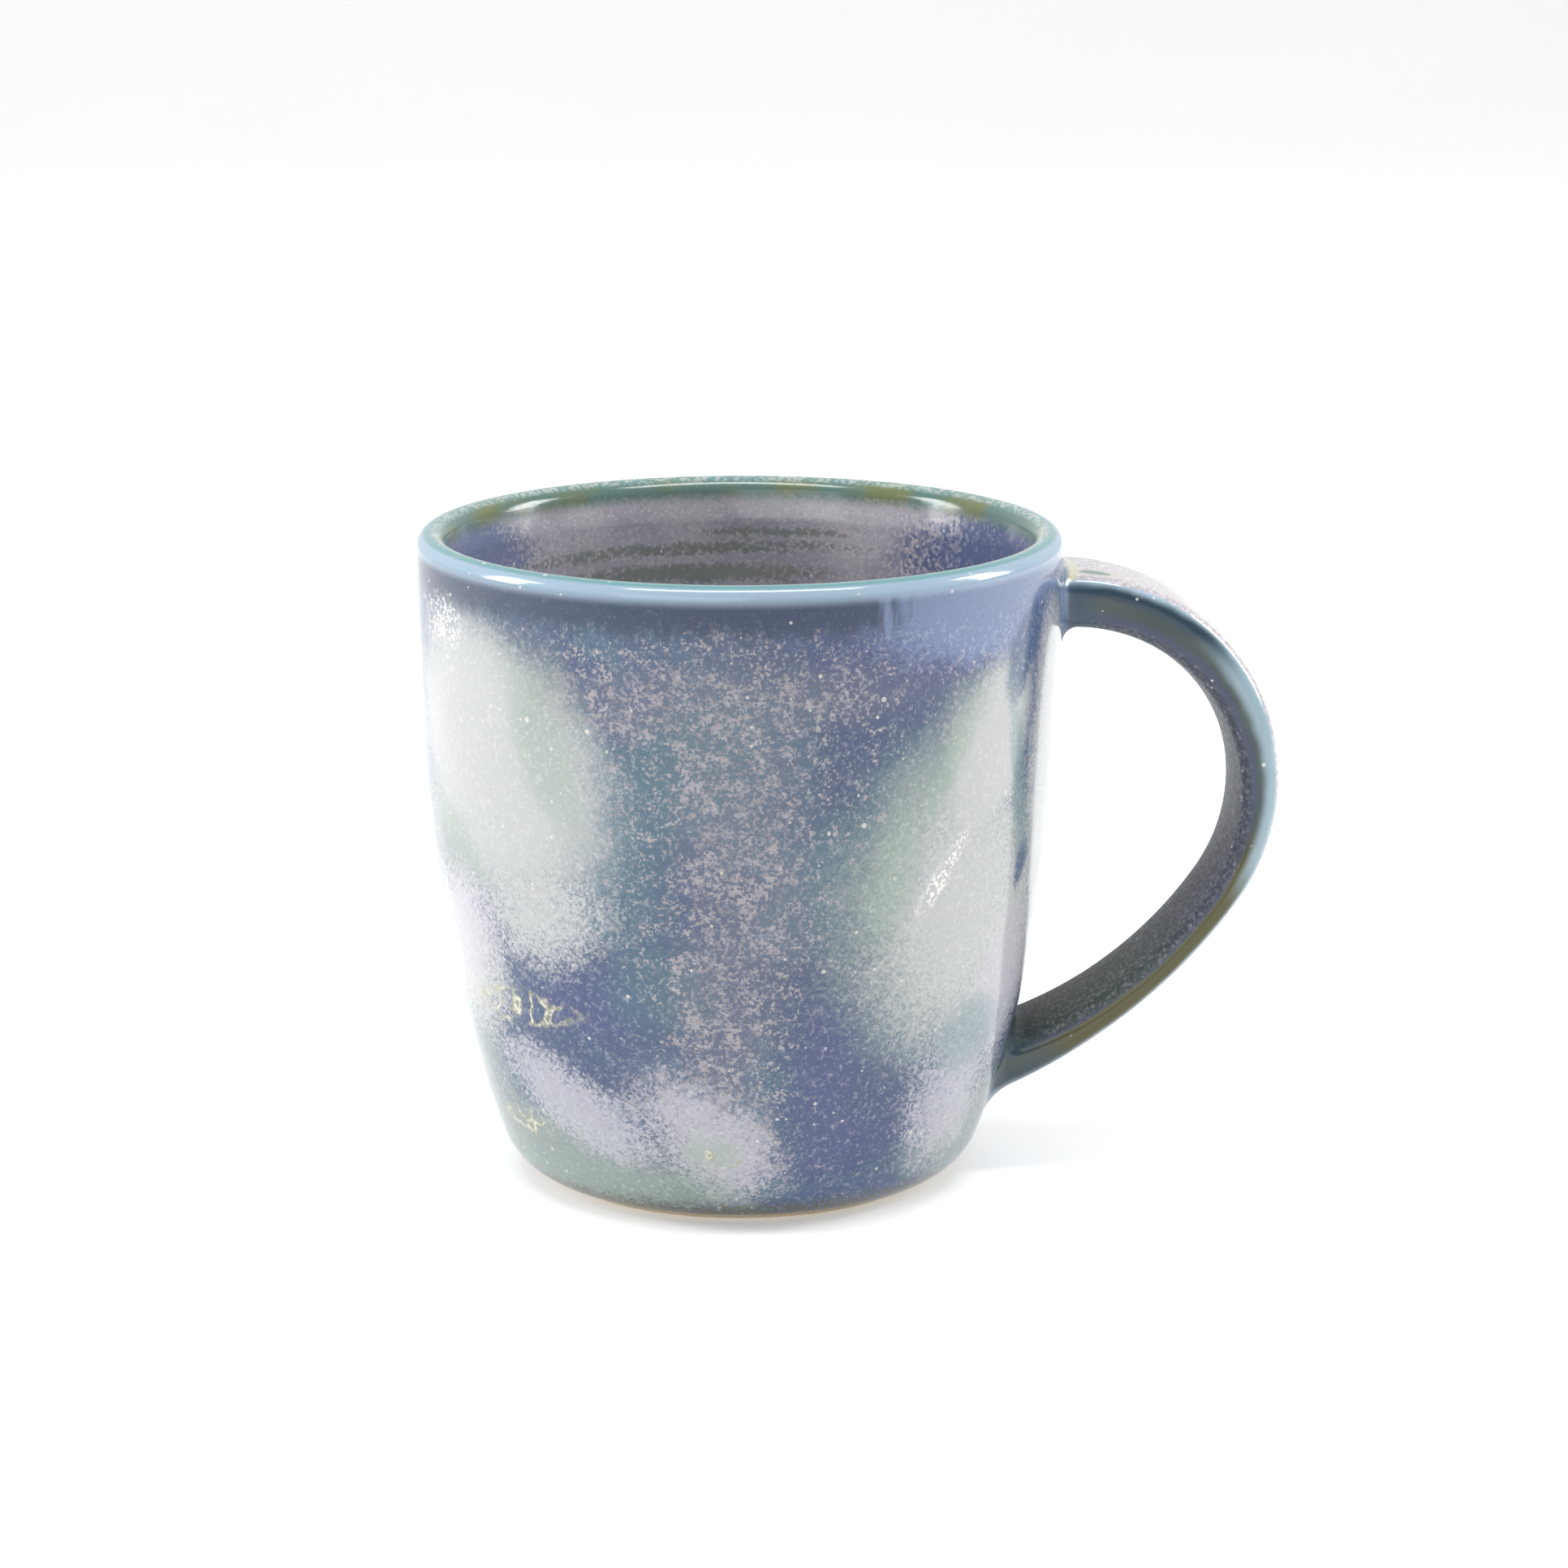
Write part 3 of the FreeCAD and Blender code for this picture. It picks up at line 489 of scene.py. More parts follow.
class Glaze:
    """A material's node tree. Each method adds a node, in order, and gives its output."""

    def __init__(self, name):
        self.material = bpy.data.materials.new(name)
        self.material.use_nodes = True
        self.tree = self.material.node_tree
        self.shader = self.tree.nodes["Principled BSDF"]
        coordinates = self.tree.nodes.new("ShaderNodeTexCoord").outputs["Object"]
        self.place = self.vector("SCALE", coordinates, scale=1 / MM)
        self.across, self.sideways, self.up = self.split(self.place)

    def node(self, kind, inputs, **settings):
        made = self.tree.nodes.new(kind)
        for key, value in settings.items():
            setattr(made, key, value)
        for key, value in inputs.items():
            if isinstance(value, bpy.types.NodeSocket):
                self.tree.links.new(value, made.inputs[key])
            else:
                made.inputs[key].default_value = value
        return made

    def maths(self, operation, *values):
        return self.node("ShaderNodeMath", dict(enumerate(values)), operation=operation).outputs[0]

    def times(self, first, second):
        return self.maths("MULTIPLY", first, second)

    def less(self, first, second):
        return self.maths("SUBTRACT", first, second)

    def scaled(self, value, factor, added):
        """value * factor + added."""
        return self.maths("MULTIPLY_ADD", value, factor, added)

    def vector(self, operation, *values, scale=None):
        inputs = dict(enumerate(values))
        if scale is not None:
            inputs["Scale"] = scale
        made = self.node("ShaderNodeVectorMath", inputs, operation=operation)
        return made.outputs["Value" if operation == "LENGTH" else "Vector"]

    def split(self, vector):
        return tuple(self.node("ShaderNodeSeparateXYZ", {0: vector}).outputs)

    def join(self, x, y, z=0.0):
        return self.node("ShaderNodeCombineXYZ", {0: x, 1: y, 2: z}).outputs[0]

    def fade(self, value, low, high):
        """0 below low, 1 above high, smooth between. low may be the greater."""
        inputs = {"Value": value, "From Min": low, "From Max": high}
        return self.node("ShaderNodeMapRange", inputs, interpolation_type="SMOOTHSTEP").outputs[0]

    def span(self, value, start, end, soft):
        """1 between start and end, fading over soft beyond each."""
        rising = self.fade(value, start - soft, start)
        return self.times(rising, self.fade(value, end + soft, end))

    def mix(self, amount, under, over):
        under = linear(under) if isinstance(under, str) else under
        over = linear(over) if isinstance(over, str) else over
        inputs = {"Factor": amount, 6: under, 7: over}
        return self.node("ShaderNodeMix", inputs, data_type="RGBA").outputs[2]

    def tint(self, colour, amount, strength, over):
        """Lays another colour over one, by amount times strength."""
        return self.mix(self.times(amount, strength), colour, over)

    def noise(self, size, detail=2.0, roughness=0.5, place=None, colour=False):
        """Cloudy noise, with features about that many millimetres across."""
        inputs = {"Vector": place or self.place, "Scale": 1 / size,
                  "Detail": detail, "Roughness": roughness}
        return self.node("ShaderNodeTexNoise", inputs).outputs["Color" if colour else "Fac"]

    def dots(self, spacing, largest, share, seed):
        """Round flecks in one cell out of many: share is how many cells have one."""
        place = self.vector("ADD", self.place, (seed * 7.31, seed * 3.17, seed * 5.53))
        cells = self.node("ShaderNodeTexVoronoi", {"Vector": place, "Scale": 1 / spacing})
        random = self.split(cells.outputs["Color"])[0]
        size = self.times(self.less(random, 1 - share), largest / spacing / share)
        edge = self.less(size, cells.outputs["Distance"])
        return self.fade(edge, -0.02, 0.03)

    def grains(self, spacing, place=None):
        """A random number for each grain of a surface, and how far a point is from its middle."""
        inputs = {"Vector": place or self.place, "Scale": 1 / spacing}
        cells = self.node("ShaderNodeTexVoronoi", inputs)
        return self.split(cells.outputs["Color"])[0], cells.outputs["Distance"]

    def finish(self, colour, roughness, height=None, strength=0.2, depth=0.0002):
        """Joins colour, roughness and relief to the shader."""
        self.tree.links.new(colour, self.shader.inputs["Base Color"])
        if isinstance(roughness, bpy.types.NodeSocket):
            self.tree.links.new(roughness, self.shader.inputs["Roughness"])
        else:
            self.shader.inputs["Roughness"].default_value = roughness
        if height is not None:
            relief = {"Height": height, "Strength": strength, "Distance": depth}
            bump = self.node("ShaderNodeBump", relief)
            self.tree.links.new(bump.outputs[0], self.shader.inputs["Normal"])
        return self.material


# A patch is a soft oval on the unrolled wall. around is measured along the wall: outside from the -Y
# side, where the camera is, and inside from the +Y side, positive towards the handle. up is the height.
# A positive lean, in degrees, tips the oval's top away from the handle.
Patch = namedtuple("Patch", "around up half_width half_height lean soft grainy")
Layer = namedtuple("Layer", "name colour strength patches")
# Where a point is on the unrolled wall, the grain that breaks up edges there, and the wall's length.
Unrolled = namedtuple("Unrolled", "around up grain length")


def turned_sum(glaze, wall_around, up, along_around, along_up, constant):
    """wall_around * along_around + up * along_up + constant."""
    total = glaze.scaled(up, along_up, constant)
    return glaze.scaled(wall_around, along_around, total) if along_around else total


def patch_amount(glaze, patch, wall):
    """How much of a patch is at a point: 1 inside, 0 outside, with a grainy edge."""
    half_length = wall.length / 2
    around, centre = wall.around, patch.around
    if abs(centre) + 2 * max(patch.half_width, patch.half_height) > half_length:
        around = glaze.maths("WRAP", glaze.less(around, centre), half_length, -half_length)
        centre = 0.0
    lean = math.radians(patch.lean)
    cos, sin = math.cos(lean), math.sin(lean)
    wide = turned_sum(glaze, around, wall.up, cos / patch.half_width, sin / patch.half_width,
                      -(centre * cos + patch.up * sin) / patch.half_width)
    high = turned_sum(glaze, around, wall.up, -sin / patch.half_height, cos / patch.half_height,
                      (centre * sin - patch.up * cos) / patch.half_height)
    squared = glaze.scaled(wide, wide, glaze.times(high, high))
    broken = glaze.scaled(wall.grain, 2 * patch.grainy, squared)
    return glaze.fade(broken, (1 + patch.soft) ** 2, (1 - patch.soft) ** 2)


def field(glaze, patches, wall):
    """The greatest of several patches, as a number."""
    total = patch_amount(glaze, patches[0], wall)
    for patch in patches[1:]:
        total = glaze.maths("MAXIMUM", total, patch_amount(glaze, patch, wall))
    return total


def painted(glaze, colour, layers, wall):
    """Lays each layer's colour over the last, wherever one of its patches is."""
    for layer in layers:
        colour = glaze.tint(colour, field(glaze, layer.patches, wall), layer.strength, layer.colour)
        colour.node.label = layer.name
    return colour


GRAIN_SPREAD = 1.3                   # how widely the grains break up a patch's edge
WALL_ROUND = 44.0                    # the radius at which lengths round the outside are measured
UNDER_CRYSTALS = 3                   # the first layers lie under the crystals, the others over them

OUTSIDE_LAYERS = [
    Layer("deep_blue", "#364463", 0.9, [
        Patch(-25, 34, 14, 7.5, -6, 0.45, 0.6), Patch(-31, 24.5, 14, 4.6, -16, 0.35, 0.5),
        Patch(10, 33, 7, 13, -8, 0.5, 0.7), Patch(15, 16.5, 12, 10, 0, 0.4, 0.6),
        Patch(22, 76, 13, 6.5, -30, 0.5, 0.8), Patch(14, 68, 6, 8, -20, 0.6, 0.8),
        Patch(-33, 82, 11, 4.5, -15, 0.5, 0.6), Patch(-58, 50, 4, 9, 10, 0.4, 0.4),
        Patch(-48, 43, 7, 6, -20, 0.6, 0.9), Patch(36, 81, 8, 6, 10, 0.5, 0.5),
        Patch(72, 45, 9, 26, 6, 0.6, 0.8), Patch(104, 72, 12, 12, 20, 0.5, 0.7),
        Patch(118, 26, 16, 10, -10, 0.5, 0.7), Patch(-84, 78, 12, 9, 10, 0.5, 0.7),
        Patch(-104, 34, 12, 16, 14, 0.5, 0.7), Patch(-128, 68, 10, 14, -10, 0.5, 0.7)]),
    Layer("violet", "#3B456C", 0.75, [
        Patch(10, 25, 4, 9, -6, 0.7, 0.5), Patch(14, 12, 7, 4.5, 0, 0.6, 0.5),
        Patch(-26, 33, 8, 4, 0, 0.7, 0.5), Patch(28, 84, 16, 6, 0, 0.6, 0.4),
        Patch(-103, 30, 6, 9, 10, 0.7, 0.5)]),
    Layer("teal", "#40606C", 0.6, [
        Patch(-20, 53, 6, 9, 0, 0.7, 0.6), Patch(16, 57, 4.5, 12, -25, 0.6, 0.5),
        Patch(-14, 36, 6, 5, 0, 0.8, 0.7), Patch(11, 50, 4, 8, 0, 0.8, 0.6),
        Patch(-12, 68, 9, 5, 30, 0.8, 0.8), Patch(-72, 58, 7, 14, 0, 0.8, 0.6),
        Patch(92, 40, 9, 14, 0, 0.8, 0.6), Patch(-116, 52, 8, 12, 20, 0.8, 0.6)]),
    Layer("sage_rim_of_patches", "#858F89", 0.75, [
        Patch(-41, 66, 17.5, 18, 18, 0.25, 0.14), Patch(24, 58, 7, 17, -30, 0.6, 0.25),
        Patch(29, 46, 16, 18, -10, 0.5, 0.35), Patch(32, 65, 8.5, 14, -24, 0.3, 0.15),
        Patch(-53, 52, 9, 6, -35, 0.4, 0.5), Patch(-40, 9, 30, 6, -4, 0.5, 0.3),
        Patch(-62, 28, 12, 20, 6, 0.6, 0.5), Patch(-8, 12, 5, 2.4, 0, 0.6, 0.7),
        Patch(44, 10, 12, 6, 0, 0.7, 0.5), Patch(88, 60, 9, 24, -6, 0.5, 0.4),
        Patch(-98, 62, 15, 24, 12, 0.4, 0.4), Patch(128, 52, 14, 20, -12, 0.4, 0.4),
        Patch(100, 10, 28, 6, 0, 0.6, 0.4), Patch(-110, 9, 26, 6, 0, 0.6, 0.4)]),
    Layer("pale", "#A6A8A8", 0.92, [
        Patch(-46, 68, 13.5, 15, 16, 0.45, 0.12), Patch(-37, 60, 12.5, 12, 20, 0.7, 0.25),
        Patch(35, 66, 6.5, 13.5, -22, 0.45, 0.15), Patch(31, 45, 11, 14, -8, 0.7, 0.5),
        Patch(-34, 46, 9, 6, 0, 0.7, 0.8), Patch(-52, 36, 9, 9, 0, 0.5, 0.6),
        Patch(43, 38, 11, 13, 0, 0.6, 0.6), Patch(54, 58, 8, 25, 4, 0.35, 0.2),
        Patch(-96, 64, 10, 18, 12, 0.6, 0.4), Patch(127, 54, 9, 14, -12, 0.6, 0.4),
        Patch(86, 64, 5, 17, -6, 0.6, 0.4)]),
    Layer("lilac", "#A5A4AC", 0.8, [
        Patch(-32, 17.5, 13, 5.5, -20, 0.4, 0.6), Patch(-8, 14, 10, 5.5, -32, 0.6, 0.9),
        Patch(36, 17, 8, 8, 0, 0.6, 0.8), Patch(47, 30, 7, 9, 0, 0.6, 0.7),
        Patch(-52, 41, 8, 6, 10, 0.6, 0.6), Patch(-88, 44, 14, 7, -10, 0.7, 0.8),
        Patch(110, 44, 12, 8, 14, 0.6, 0.8)]),
    Layer("lilac_blue", "#6C7B9B", 0.8, [Patch(31, 84.5, 13, 3.8, 0, 0.6, 0.5)]),
    Layer("green_spots", "#7F9185", 0.5, [
        Patch(-8, 12, 4, 1.9, 0, 0.6, 0.8), Patch(-36, 5.5, 26, 2.6, 0, 0.8, 0.4),
        Patch(-52, 53, 7, 2.0, -30, 0.7, 0.6), Patch(-31, 68, 3.0, 9, 24, 0.8, 0.3),
        Patch(18, 51, 2.4, 7, -14, 0.8, 0.4), Patch(27, 66, 1.6, 7, -30, 0.8, 0.3)]),
    Layer("dark_leaf", "#3F4F6E", 0.9, [
        Patch(42.5, 80, 3.0, 7.5, -34, 0.3, 0.2), Patch(45.0, 49, 1.2, 2.2, 0, 0.9, 0.8),
        Patch(18, 3.0, 16, 3.1, 0, 0.22, 0.2)]),
    Layer("grey_streak", "#6F8285", 0.7, [
        Patch(41.5, 63, 1.6, 11, 14, 0.6, 0.2), Patch(38, 26, 6, 3.6, 0, 0.7, 0.8)]),
]

CRYSTAL_FIELD = [
    Patch(-7, 78, 25, 6, 0, 0.7, 0.3), Patch(-5, 60, 17, 22, 0, 0.7, 0.3),
    Patch(-4, 36, 9, 13, 0, 0.7, 0.3), Patch(-5, 18, 9, 10, 0, 0.7, 0.3),
    Patch(-90, 50, 22, 26, 0, 0.8, 0.3), Patch(112, 56, 24, 26, 0, 0.8, 0.3)]
CLOUD_FIELD = [
    Patch(-7, 76.5, 23, 3.2, 2, 0.9, 0.6), Patch(-3, 58, 6, 18, 6, 0.9, 0.6),
    Patch(-6, 33, 5, 10, 0, 0.9, 0.6), Patch(-9, 15, 10, 6, -30, 0.8, 0.6),
    Patch(-86, 52, 12, 14, 0, 0.9, 0.6), Patch(114, 60, 12, 12, 0, 0.9, 0.6)]
CLEAR_FIELD = [
    Patch(-27, 33.5, 13, 6, 0, 0.5, 0.5), Patch(-31, 24.5, 13, 4.6, -16, 0.4, 0.5),
    Patch(12, 27, 6.5, 15, -4, 0.5, 0.6), Patch(15, 14, 11, 8, 0, 0.4, 0.5),
    Patch(22, 76, 9, 5, -30, 0.7, 0.6)]
SQUIGGLE_FIELD = [
    Patch(-40, 30.8, 11, 2.4, 3, 0.3, 0.2), Patch(-47, 12.8, 7, 1.8, 0, 0.3, 0.2),
    Patch(-6, 12.2, 3.0, 1.3, 0, 0.3, 0.2), Patch(96, 28, 9, 2.2, 8, 0.3, 0.2),
    Patch(-112, 20, 8, 2.2, -8, 0.3, 0.2)]
CRUST_FIELD = [
    Patch(26.5, 51, 1.5, 6.5, -36, 0.6, 0.5), Patch(-52, 83, 5, 3, 0, 0.7, 0.6),
    Patch(-92, 84, 9, 2, 0, 0.7, 0.6)]


def wandering(glaze, size, amounts):
    """The place of a point after noise has pushed it about, more one way than another, as glaze runs."""
    wander = glaze.vector("SUBTRACT", glaze.noise(size, 3.0, 0.55, colour=True), (0.5, 0.5, 0.5))
    shifted = glaze.vector("ADD", glaze.place, glaze.vector("MULTIPLY", wander, amounts))
    return glaze.split(shifted)


def with_crystals(glaze, colour, wall, random, from_middle):
    """Strews pinkish crystals, one to a grain, denser where the fields are strong."""
    cloud = field(glaze, CLOUD_FIELD, wall)
    density = field(glaze, CRYSTAL_FIELD, wall)
    clear = field(glaze, CLEAR_FIELD, wall)
    clumps = glaze.fade(glaze.noise(2.2, 4.0, 0.75), 0.32, 0.68)
    share = glaze.scaled(density, 0.24, glaze.times(cloud, 0.26))
    share = glaze.scaled(clumps, 0.60, glaze.less(share, 0.31))
    share = glaze.scaled(clear, -0.30, share)
    present = glaze.fade(glaze.maths("ADD", random, share), 0.90, 1.14)
    crystals = glaze.times(present, glaze.fade(from_middle, 1.05, 0.55))
    colour = glaze.tint(colour, cloud, 0.22, "#74707C")
    return glaze.tint(colour, crystals, 0.85, glaze.mix(clumps, "#66646D", "#9A9497")), crystals


def with_lip(glaze, colour):
    """The slate band under the lip, violet on the handle's side, and above it the paler lip, a painted
    reflection of light on its rounding.
    """
    streaks = glaze.noise(1.0, 3.0, 0.6, place=glaze.vector("MULTIPLY", glaze.place, (0.45, 0.45, 0.06)))
    streak = glaze.less(streaks, 0.5)
    under_lip = glaze.span(glaze.scaled(streak, 5.0, glaze.up), 87.2, 91.5, 3.4)
    towards_handle = glaze.maths("ARCTAN2", glaze.across, glaze.times(glaze.sideways, -1.0))
    around = glaze.times(towards_handle, WALL_ROUND)
    violet_side = glaze.span(glaze.scaled(streak, 16.0, around), 20.0, 60.0, 5.0)
    colour = glaze.tint(colour, under_lip, 0.85, glaze.mix(violet_side, "#23314A", "#64728F"))
    # painted reflection: the lip's pale blue stands in for light reflected on its rounded edge
    colour = glaze.mix(glaze.fade(glaze.up, 88.9, 90.8), colour, "#8CA0B0")
    return glaze.mix(glaze.fade(glaze.up, 91.5, 91.85), colour, "#5E8A8E")


def with_crawling(glaze, colour, wall, random):
    """Crawled squiggles of cream with olive edges, and a crust of pale grains."""
    squiggles = field(glaze, SQUIGGLE_FIELD, wall)
    contour = glaze.maths("ABSOLUTE", glaze.less(glaze.noise(3.4, 1.0), 0.5))
    colour = glaze.tint(colour, glaze.times(glaze.fade(contour, 0.075, 0.045), squiggles), 0.6, "#8C8B66")
    cream = glaze.times(glaze.fade(contour, 0.05, 0.02), squiggles)
    cream = glaze.times(cream, glaze.fade(random, 0.25, 0.45))
    colour = glaze.tint(colour, cream, 0.8, "#C9C6BA")
    crust = glaze.times(field(glaze, CRUST_FIELD, wall), glaze.fade(random, 0.62, 0.7))
    return glaze.tint(colour, crust, 0.8, "#E2DFD8")


def outside_material():
    glaze = Glaze("outside_reactive_glaze")
    x, y, up = wandering(glaze, 11.0, (5.5, 5.5, 7.0))
    turn = glaze.maths("ARCTAN2", x, glaze.times(y, -1.0))
    uneven = glaze.vector("SUBTRACT", glaze.noise(0.5, 1.0, colour=True), (0.5, 0.5, 0.5))
    jagged = glaze.vector("ADD", glaze.place, glaze.vector("SCALE", uneven, scale=0.5))
    random, from_middle = glaze.grains(0.38, jagged)
    grain = glaze.scaled(random, GRAIN_SPREAD, -GRAIN_SPREAD / 2)
    wall = Unrolled(glaze.times(turn, WALL_ROUND), up, grain, 2 * math.pi * WALL_ROUND)

    drift = glaze.fade(glaze.noise(16.0, 3.0), 0.38, 0.62)
    colour = glaze.mix(drift, "#3D4B68", "#455C70")
    colour = painted(glaze, colour, OUTSIDE_LAYERS[:UNDER_CRYSTALS], wall)
    colour, crystals = with_crystals(glaze, colour, wall, random, from_middle)
    colour = painted(glaze, colour, OUTSIDE_LAYERS[UNDER_CRYSTALS:], wall)
    mottle = glaze.fade(glaze.noise(0.8, 3.0, 0.8), 0.50, 0.72)
    colour = glaze.tint(colour, mottle, 0.22, "#DEDCDA")
    colour = with_lip(glaze, colour)
    colour = with_crawling(glaze, colour, wall, random)

    # flecks of cream and dark green, and darker olive-brown towards the foot, ragged at its top
    flecks = glaze.maths("MAXIMUM", glaze.dots(2.6, 0.42, 0.10, 1), glaze.dots(1.3, 0.28, 0.16, 2))
    colour = glaze.tint(colour, flecks, 0.65, "#C9C6BE")
    colour = glaze.tint(colour, glaze.dots(2.1, 0.24, 0.10, 5), 0.7, "#56796B")
    ragged_up = glaze.scaled(glaze.less(random, 0.5), 3.0, glaze.up)
    colour = glaze.tint(colour, glaze.fade(ragged_up, 4.2, 1.8), 0.9, "#4E4B35")

    relief = glaze.scaled(glaze.noise(0.62, 2.0), 0.05, glaze.noise(7.0, 1.0))
    roughness = glaze.scaled(crystals, 0.10, 0.12)
    return glaze.finish(colour, roughness, relief, 0.25, 0.0004)


INSIDE_ROUND = 42.0
INSIDE_LAYERS = [
    Layer("blue_right", "#46557B", 0.9, [Patch(50, 84.5, 17, 5.6, 8, 0.45, 0.6)]),
    Layer("blue", "#667391", 0.92, [
        Patch(-47, 85.5, 13, 4.6, -12, 0.45, 0.5),
        Patch(110, 70, 20, 16, 0, 0.6, 0.6), Patch(-100, 50, 14, 20, 10, 0.6, 0.6),
        Patch(20, 30, 22, 10, 0, 0.6, 0.6)]),
    Layer("rings", "#6F786D", 0.75, [
        Patch(8, 84.0, 8, 0.55, 0, 0.5, 0.9), Patch(-8, 81.6, 20, 0.7, 1, 0.5, 1.0),
        Patch(-4, 78.0, 18, 1.2, 0, 0.4, 0.5), Patch(-6, 73.5, 24, 1.0, 0, 0.5, 0.8),
        Patch(12, 68, 22, 1.2, 0, 0.5, 0.8), Patch(-20, 60, 26, 1.3, 0, 0.5, 0.8)]),
]


def inside_material():
    glaze = Glaze("inside_reactive_glaze")
    x, y, up = wandering(glaze, 9.0, (7.0, 7.0, 1.2))
    around = glaze.times(glaze.maths("ARCTAN2", x, y), INSIDE_ROUND)
    random, from_middle = glaze.grains(0.5)
    grain = glaze.scaled(random, GRAIN_SPREAD, -GRAIN_SPREAD / 2)
    wall = Unrolled(around, up, grain, 2 * math.pi * INSIDE_ROUND)

    drift = glaze.fade(glaze.noise(14.0, 3.0), 0.35, 0.65)
    colour = glaze.mix(drift, "#918D97", "#A5A1A8")
    speckle = glaze.times(glaze.fade(random, 0.5, 0.7), glaze.fade(from_middle, 0.7, 0.4))
    colour = glaze.tint(colour, speckle, 0.4, "#BDB8BC")
    elsewhere = glaze.vector("ADD", glaze.place, (31.0, 17.0, 5.0))
    dark = glaze.fade(glaze.noise(0.7, 2.0, 0.7, place=elsewhere), 0.56, 0.66)
    colour = glaze.tint(colour, dark, 0.35, "#7C7D90")
    colour = painted(glaze, colour, INSIDE_LAYERS, wall)
    floor = glaze.fade(glaze.up, 26.0, 12.0)
    colour = glaze.tint(colour, floor, 0.6, "#5B7C8C")
    bevel = glaze.fade(glaze.scaled(grain, 0.5, glaze.up), 87.8, 90.2)
    olive = glaze.fade(glaze.noise(12.0, 2.0), 0.42, 0.62)
    colour = glaze.mix(bevel, colour, glaze.mix(olive, "#546F6A", "#67704F"))
    crest = glaze.fade(glaze.up, 91.2, 91.8)
    speckled_crest = glaze.times(crest, glaze.fade(random, 0.45, 0.6))
    colour = glaze.tint(colour, crest, 0.6, "#6C8E92")
    colour = glaze.tint(colour, speckled_crest, 0.45, "#BDBDB4")
    flecks = glaze.dots(2.2, 0.3, 0.08, 3)
    colour = glaze.tint(colour, flecks, 0.7, "#D8D4CE")
    relief = glaze.scaled(glaze.noise(0.5, 2.0), 0.05, glaze.noise(6.0, 1.0))
    thinning = glaze.fade(glaze.up, 85.5, 92.0)          # the coat thins towards the lip
    relief = glaze.scaled(thinning, -28.0, relief)
    return glaze.finish(colour, glaze.scaled(speckle, 0.08, 0.14), relief, 0.2, 0.0004)


def strap_depth(glaze, bow, sweep, join):
    """How far a point is beyond one side's curve, on the bow or on the sweep."""

    def beyond(circle):
        offset = glaze.join(glaze.less(glaze.across, circle.across), glaze.less(glaze.up, circle.up))
        return glaze.less(glaze.vector("LENGTH", offset), circle.radius)

    along = glaze.times(glaze.less(glaze.across, bow.across), math.sin(-join))
    rise = glaze.less(glaze.up, bow.up)
    on_bow = glaze.maths("GREATER_THAN", glaze.scaled(rise, math.cos(join), along), 0.0)
    on_sweep = glaze.less(1.0, on_bow)
    return glaze.scaled(beyond(sweep), on_sweep, glaze.times(beyond(bow), on_bow))


def handle_side(glaze, through):
    """Stripes along the strap's side, from the inner edge, where through is 0, to the outer one; the outer
    pale blue is partly painted highlight.
    """
    lengthwise = glaze.fade(glaze.noise(9.0, 3.0), 0.35, 0.65)
    colour = glaze.mix(lengthwise, "#2B393C", "#3A4846")
    colour = glaze.tint(colour, glaze.fade(through, 0.42, 0.24), 0.9, "#2F3A58")
    colour = glaze.tint(colour, glaze.fade(through, 0.13, 0.03), 0.7, "#6A6880")
    colour = glaze.tint(colour, glaze.span(through, 0.66, 0.78, 0.1), 0.8, "#24394A")
    # partly painted highlight: the outer edge's pale blue adds the rounded edge's reflection to the glaze's
    # light blue
    colour = glaze.tint(colour, glaze.fade(through, 0.78, 0.94), 0.95, "#93AABA")
    olive_low = glaze.times(glaze.span(glaze.up, 20.0, 44.0, 8.0), glaze.span(through, 0.42, 0.84, 0.18))
    colour = glaze.tint(colour, olive_low, 0.9, "#4A4518")
    # partly painted highlight: the paler outer side round the bow widens the edge's reflection, over the
    # glaze's own blue
    bow_glaze_and_highlight = glaze.times(glaze.span(glaze.up, 46.0, 70.0, 8.0), glaze.fade(through, 0.40, 0.66))
    return glaze.tint(colour, bow_glaze_and_highlight, 0.85, "#8FA5B0")


def handle_underside(glaze, grain):
    """The inner face: dark mauve with pale grains, greener towards the lower root."""
    ground = glaze.mix(glaze.fade(glaze.up, 40.0, 26.0), "#3D4350", "#3A473F")
    colour = glaze.mix(glaze.fade(grain, 0.46, 0.66), ground, "#68686F")
    random, from_middle = glaze.grains(0.6)
    pale_grains = glaze.times(glaze.fade(random, 0.72, 0.86), glaze.fade(from_middle, 0.7, 0.3))
    return glaze.tint(colour, pale_grains, 0.4, "#8D8A90")


def handle_top(glaze, grain, wobble):
    """The outer face: pale and pinkish, bluer lower down, with blue-teal edges that are partly glaze and
    partly painted highlight on their rounding.
    """
    beside = glaze.maths("ABSOLUTE", glaze.sideways)
    middle = glaze.fade(glaze.scaled(wobble, 0.4, beside), 8.8, 8.0)
    pale = glaze.mix(glaze.fade(grain, 0.42, 0.62), "#A19CA2", "#C6C0C2")
    pale = glaze.tint(pale, glaze.fade(glaze.up, 62.0, 40.0), 0.7, "#73899A")
    # partly painted highlight: the long edges' light blue-teal adds the rounding's reflection to the glaze
    # colour
    edge = glaze.mix(glaze.fade(glaze.noise(5.0, 2.0), 0.4, 0.6), "#93AABA", "#7F9C9E")
    return glaze.mix(middle, edge, pale)


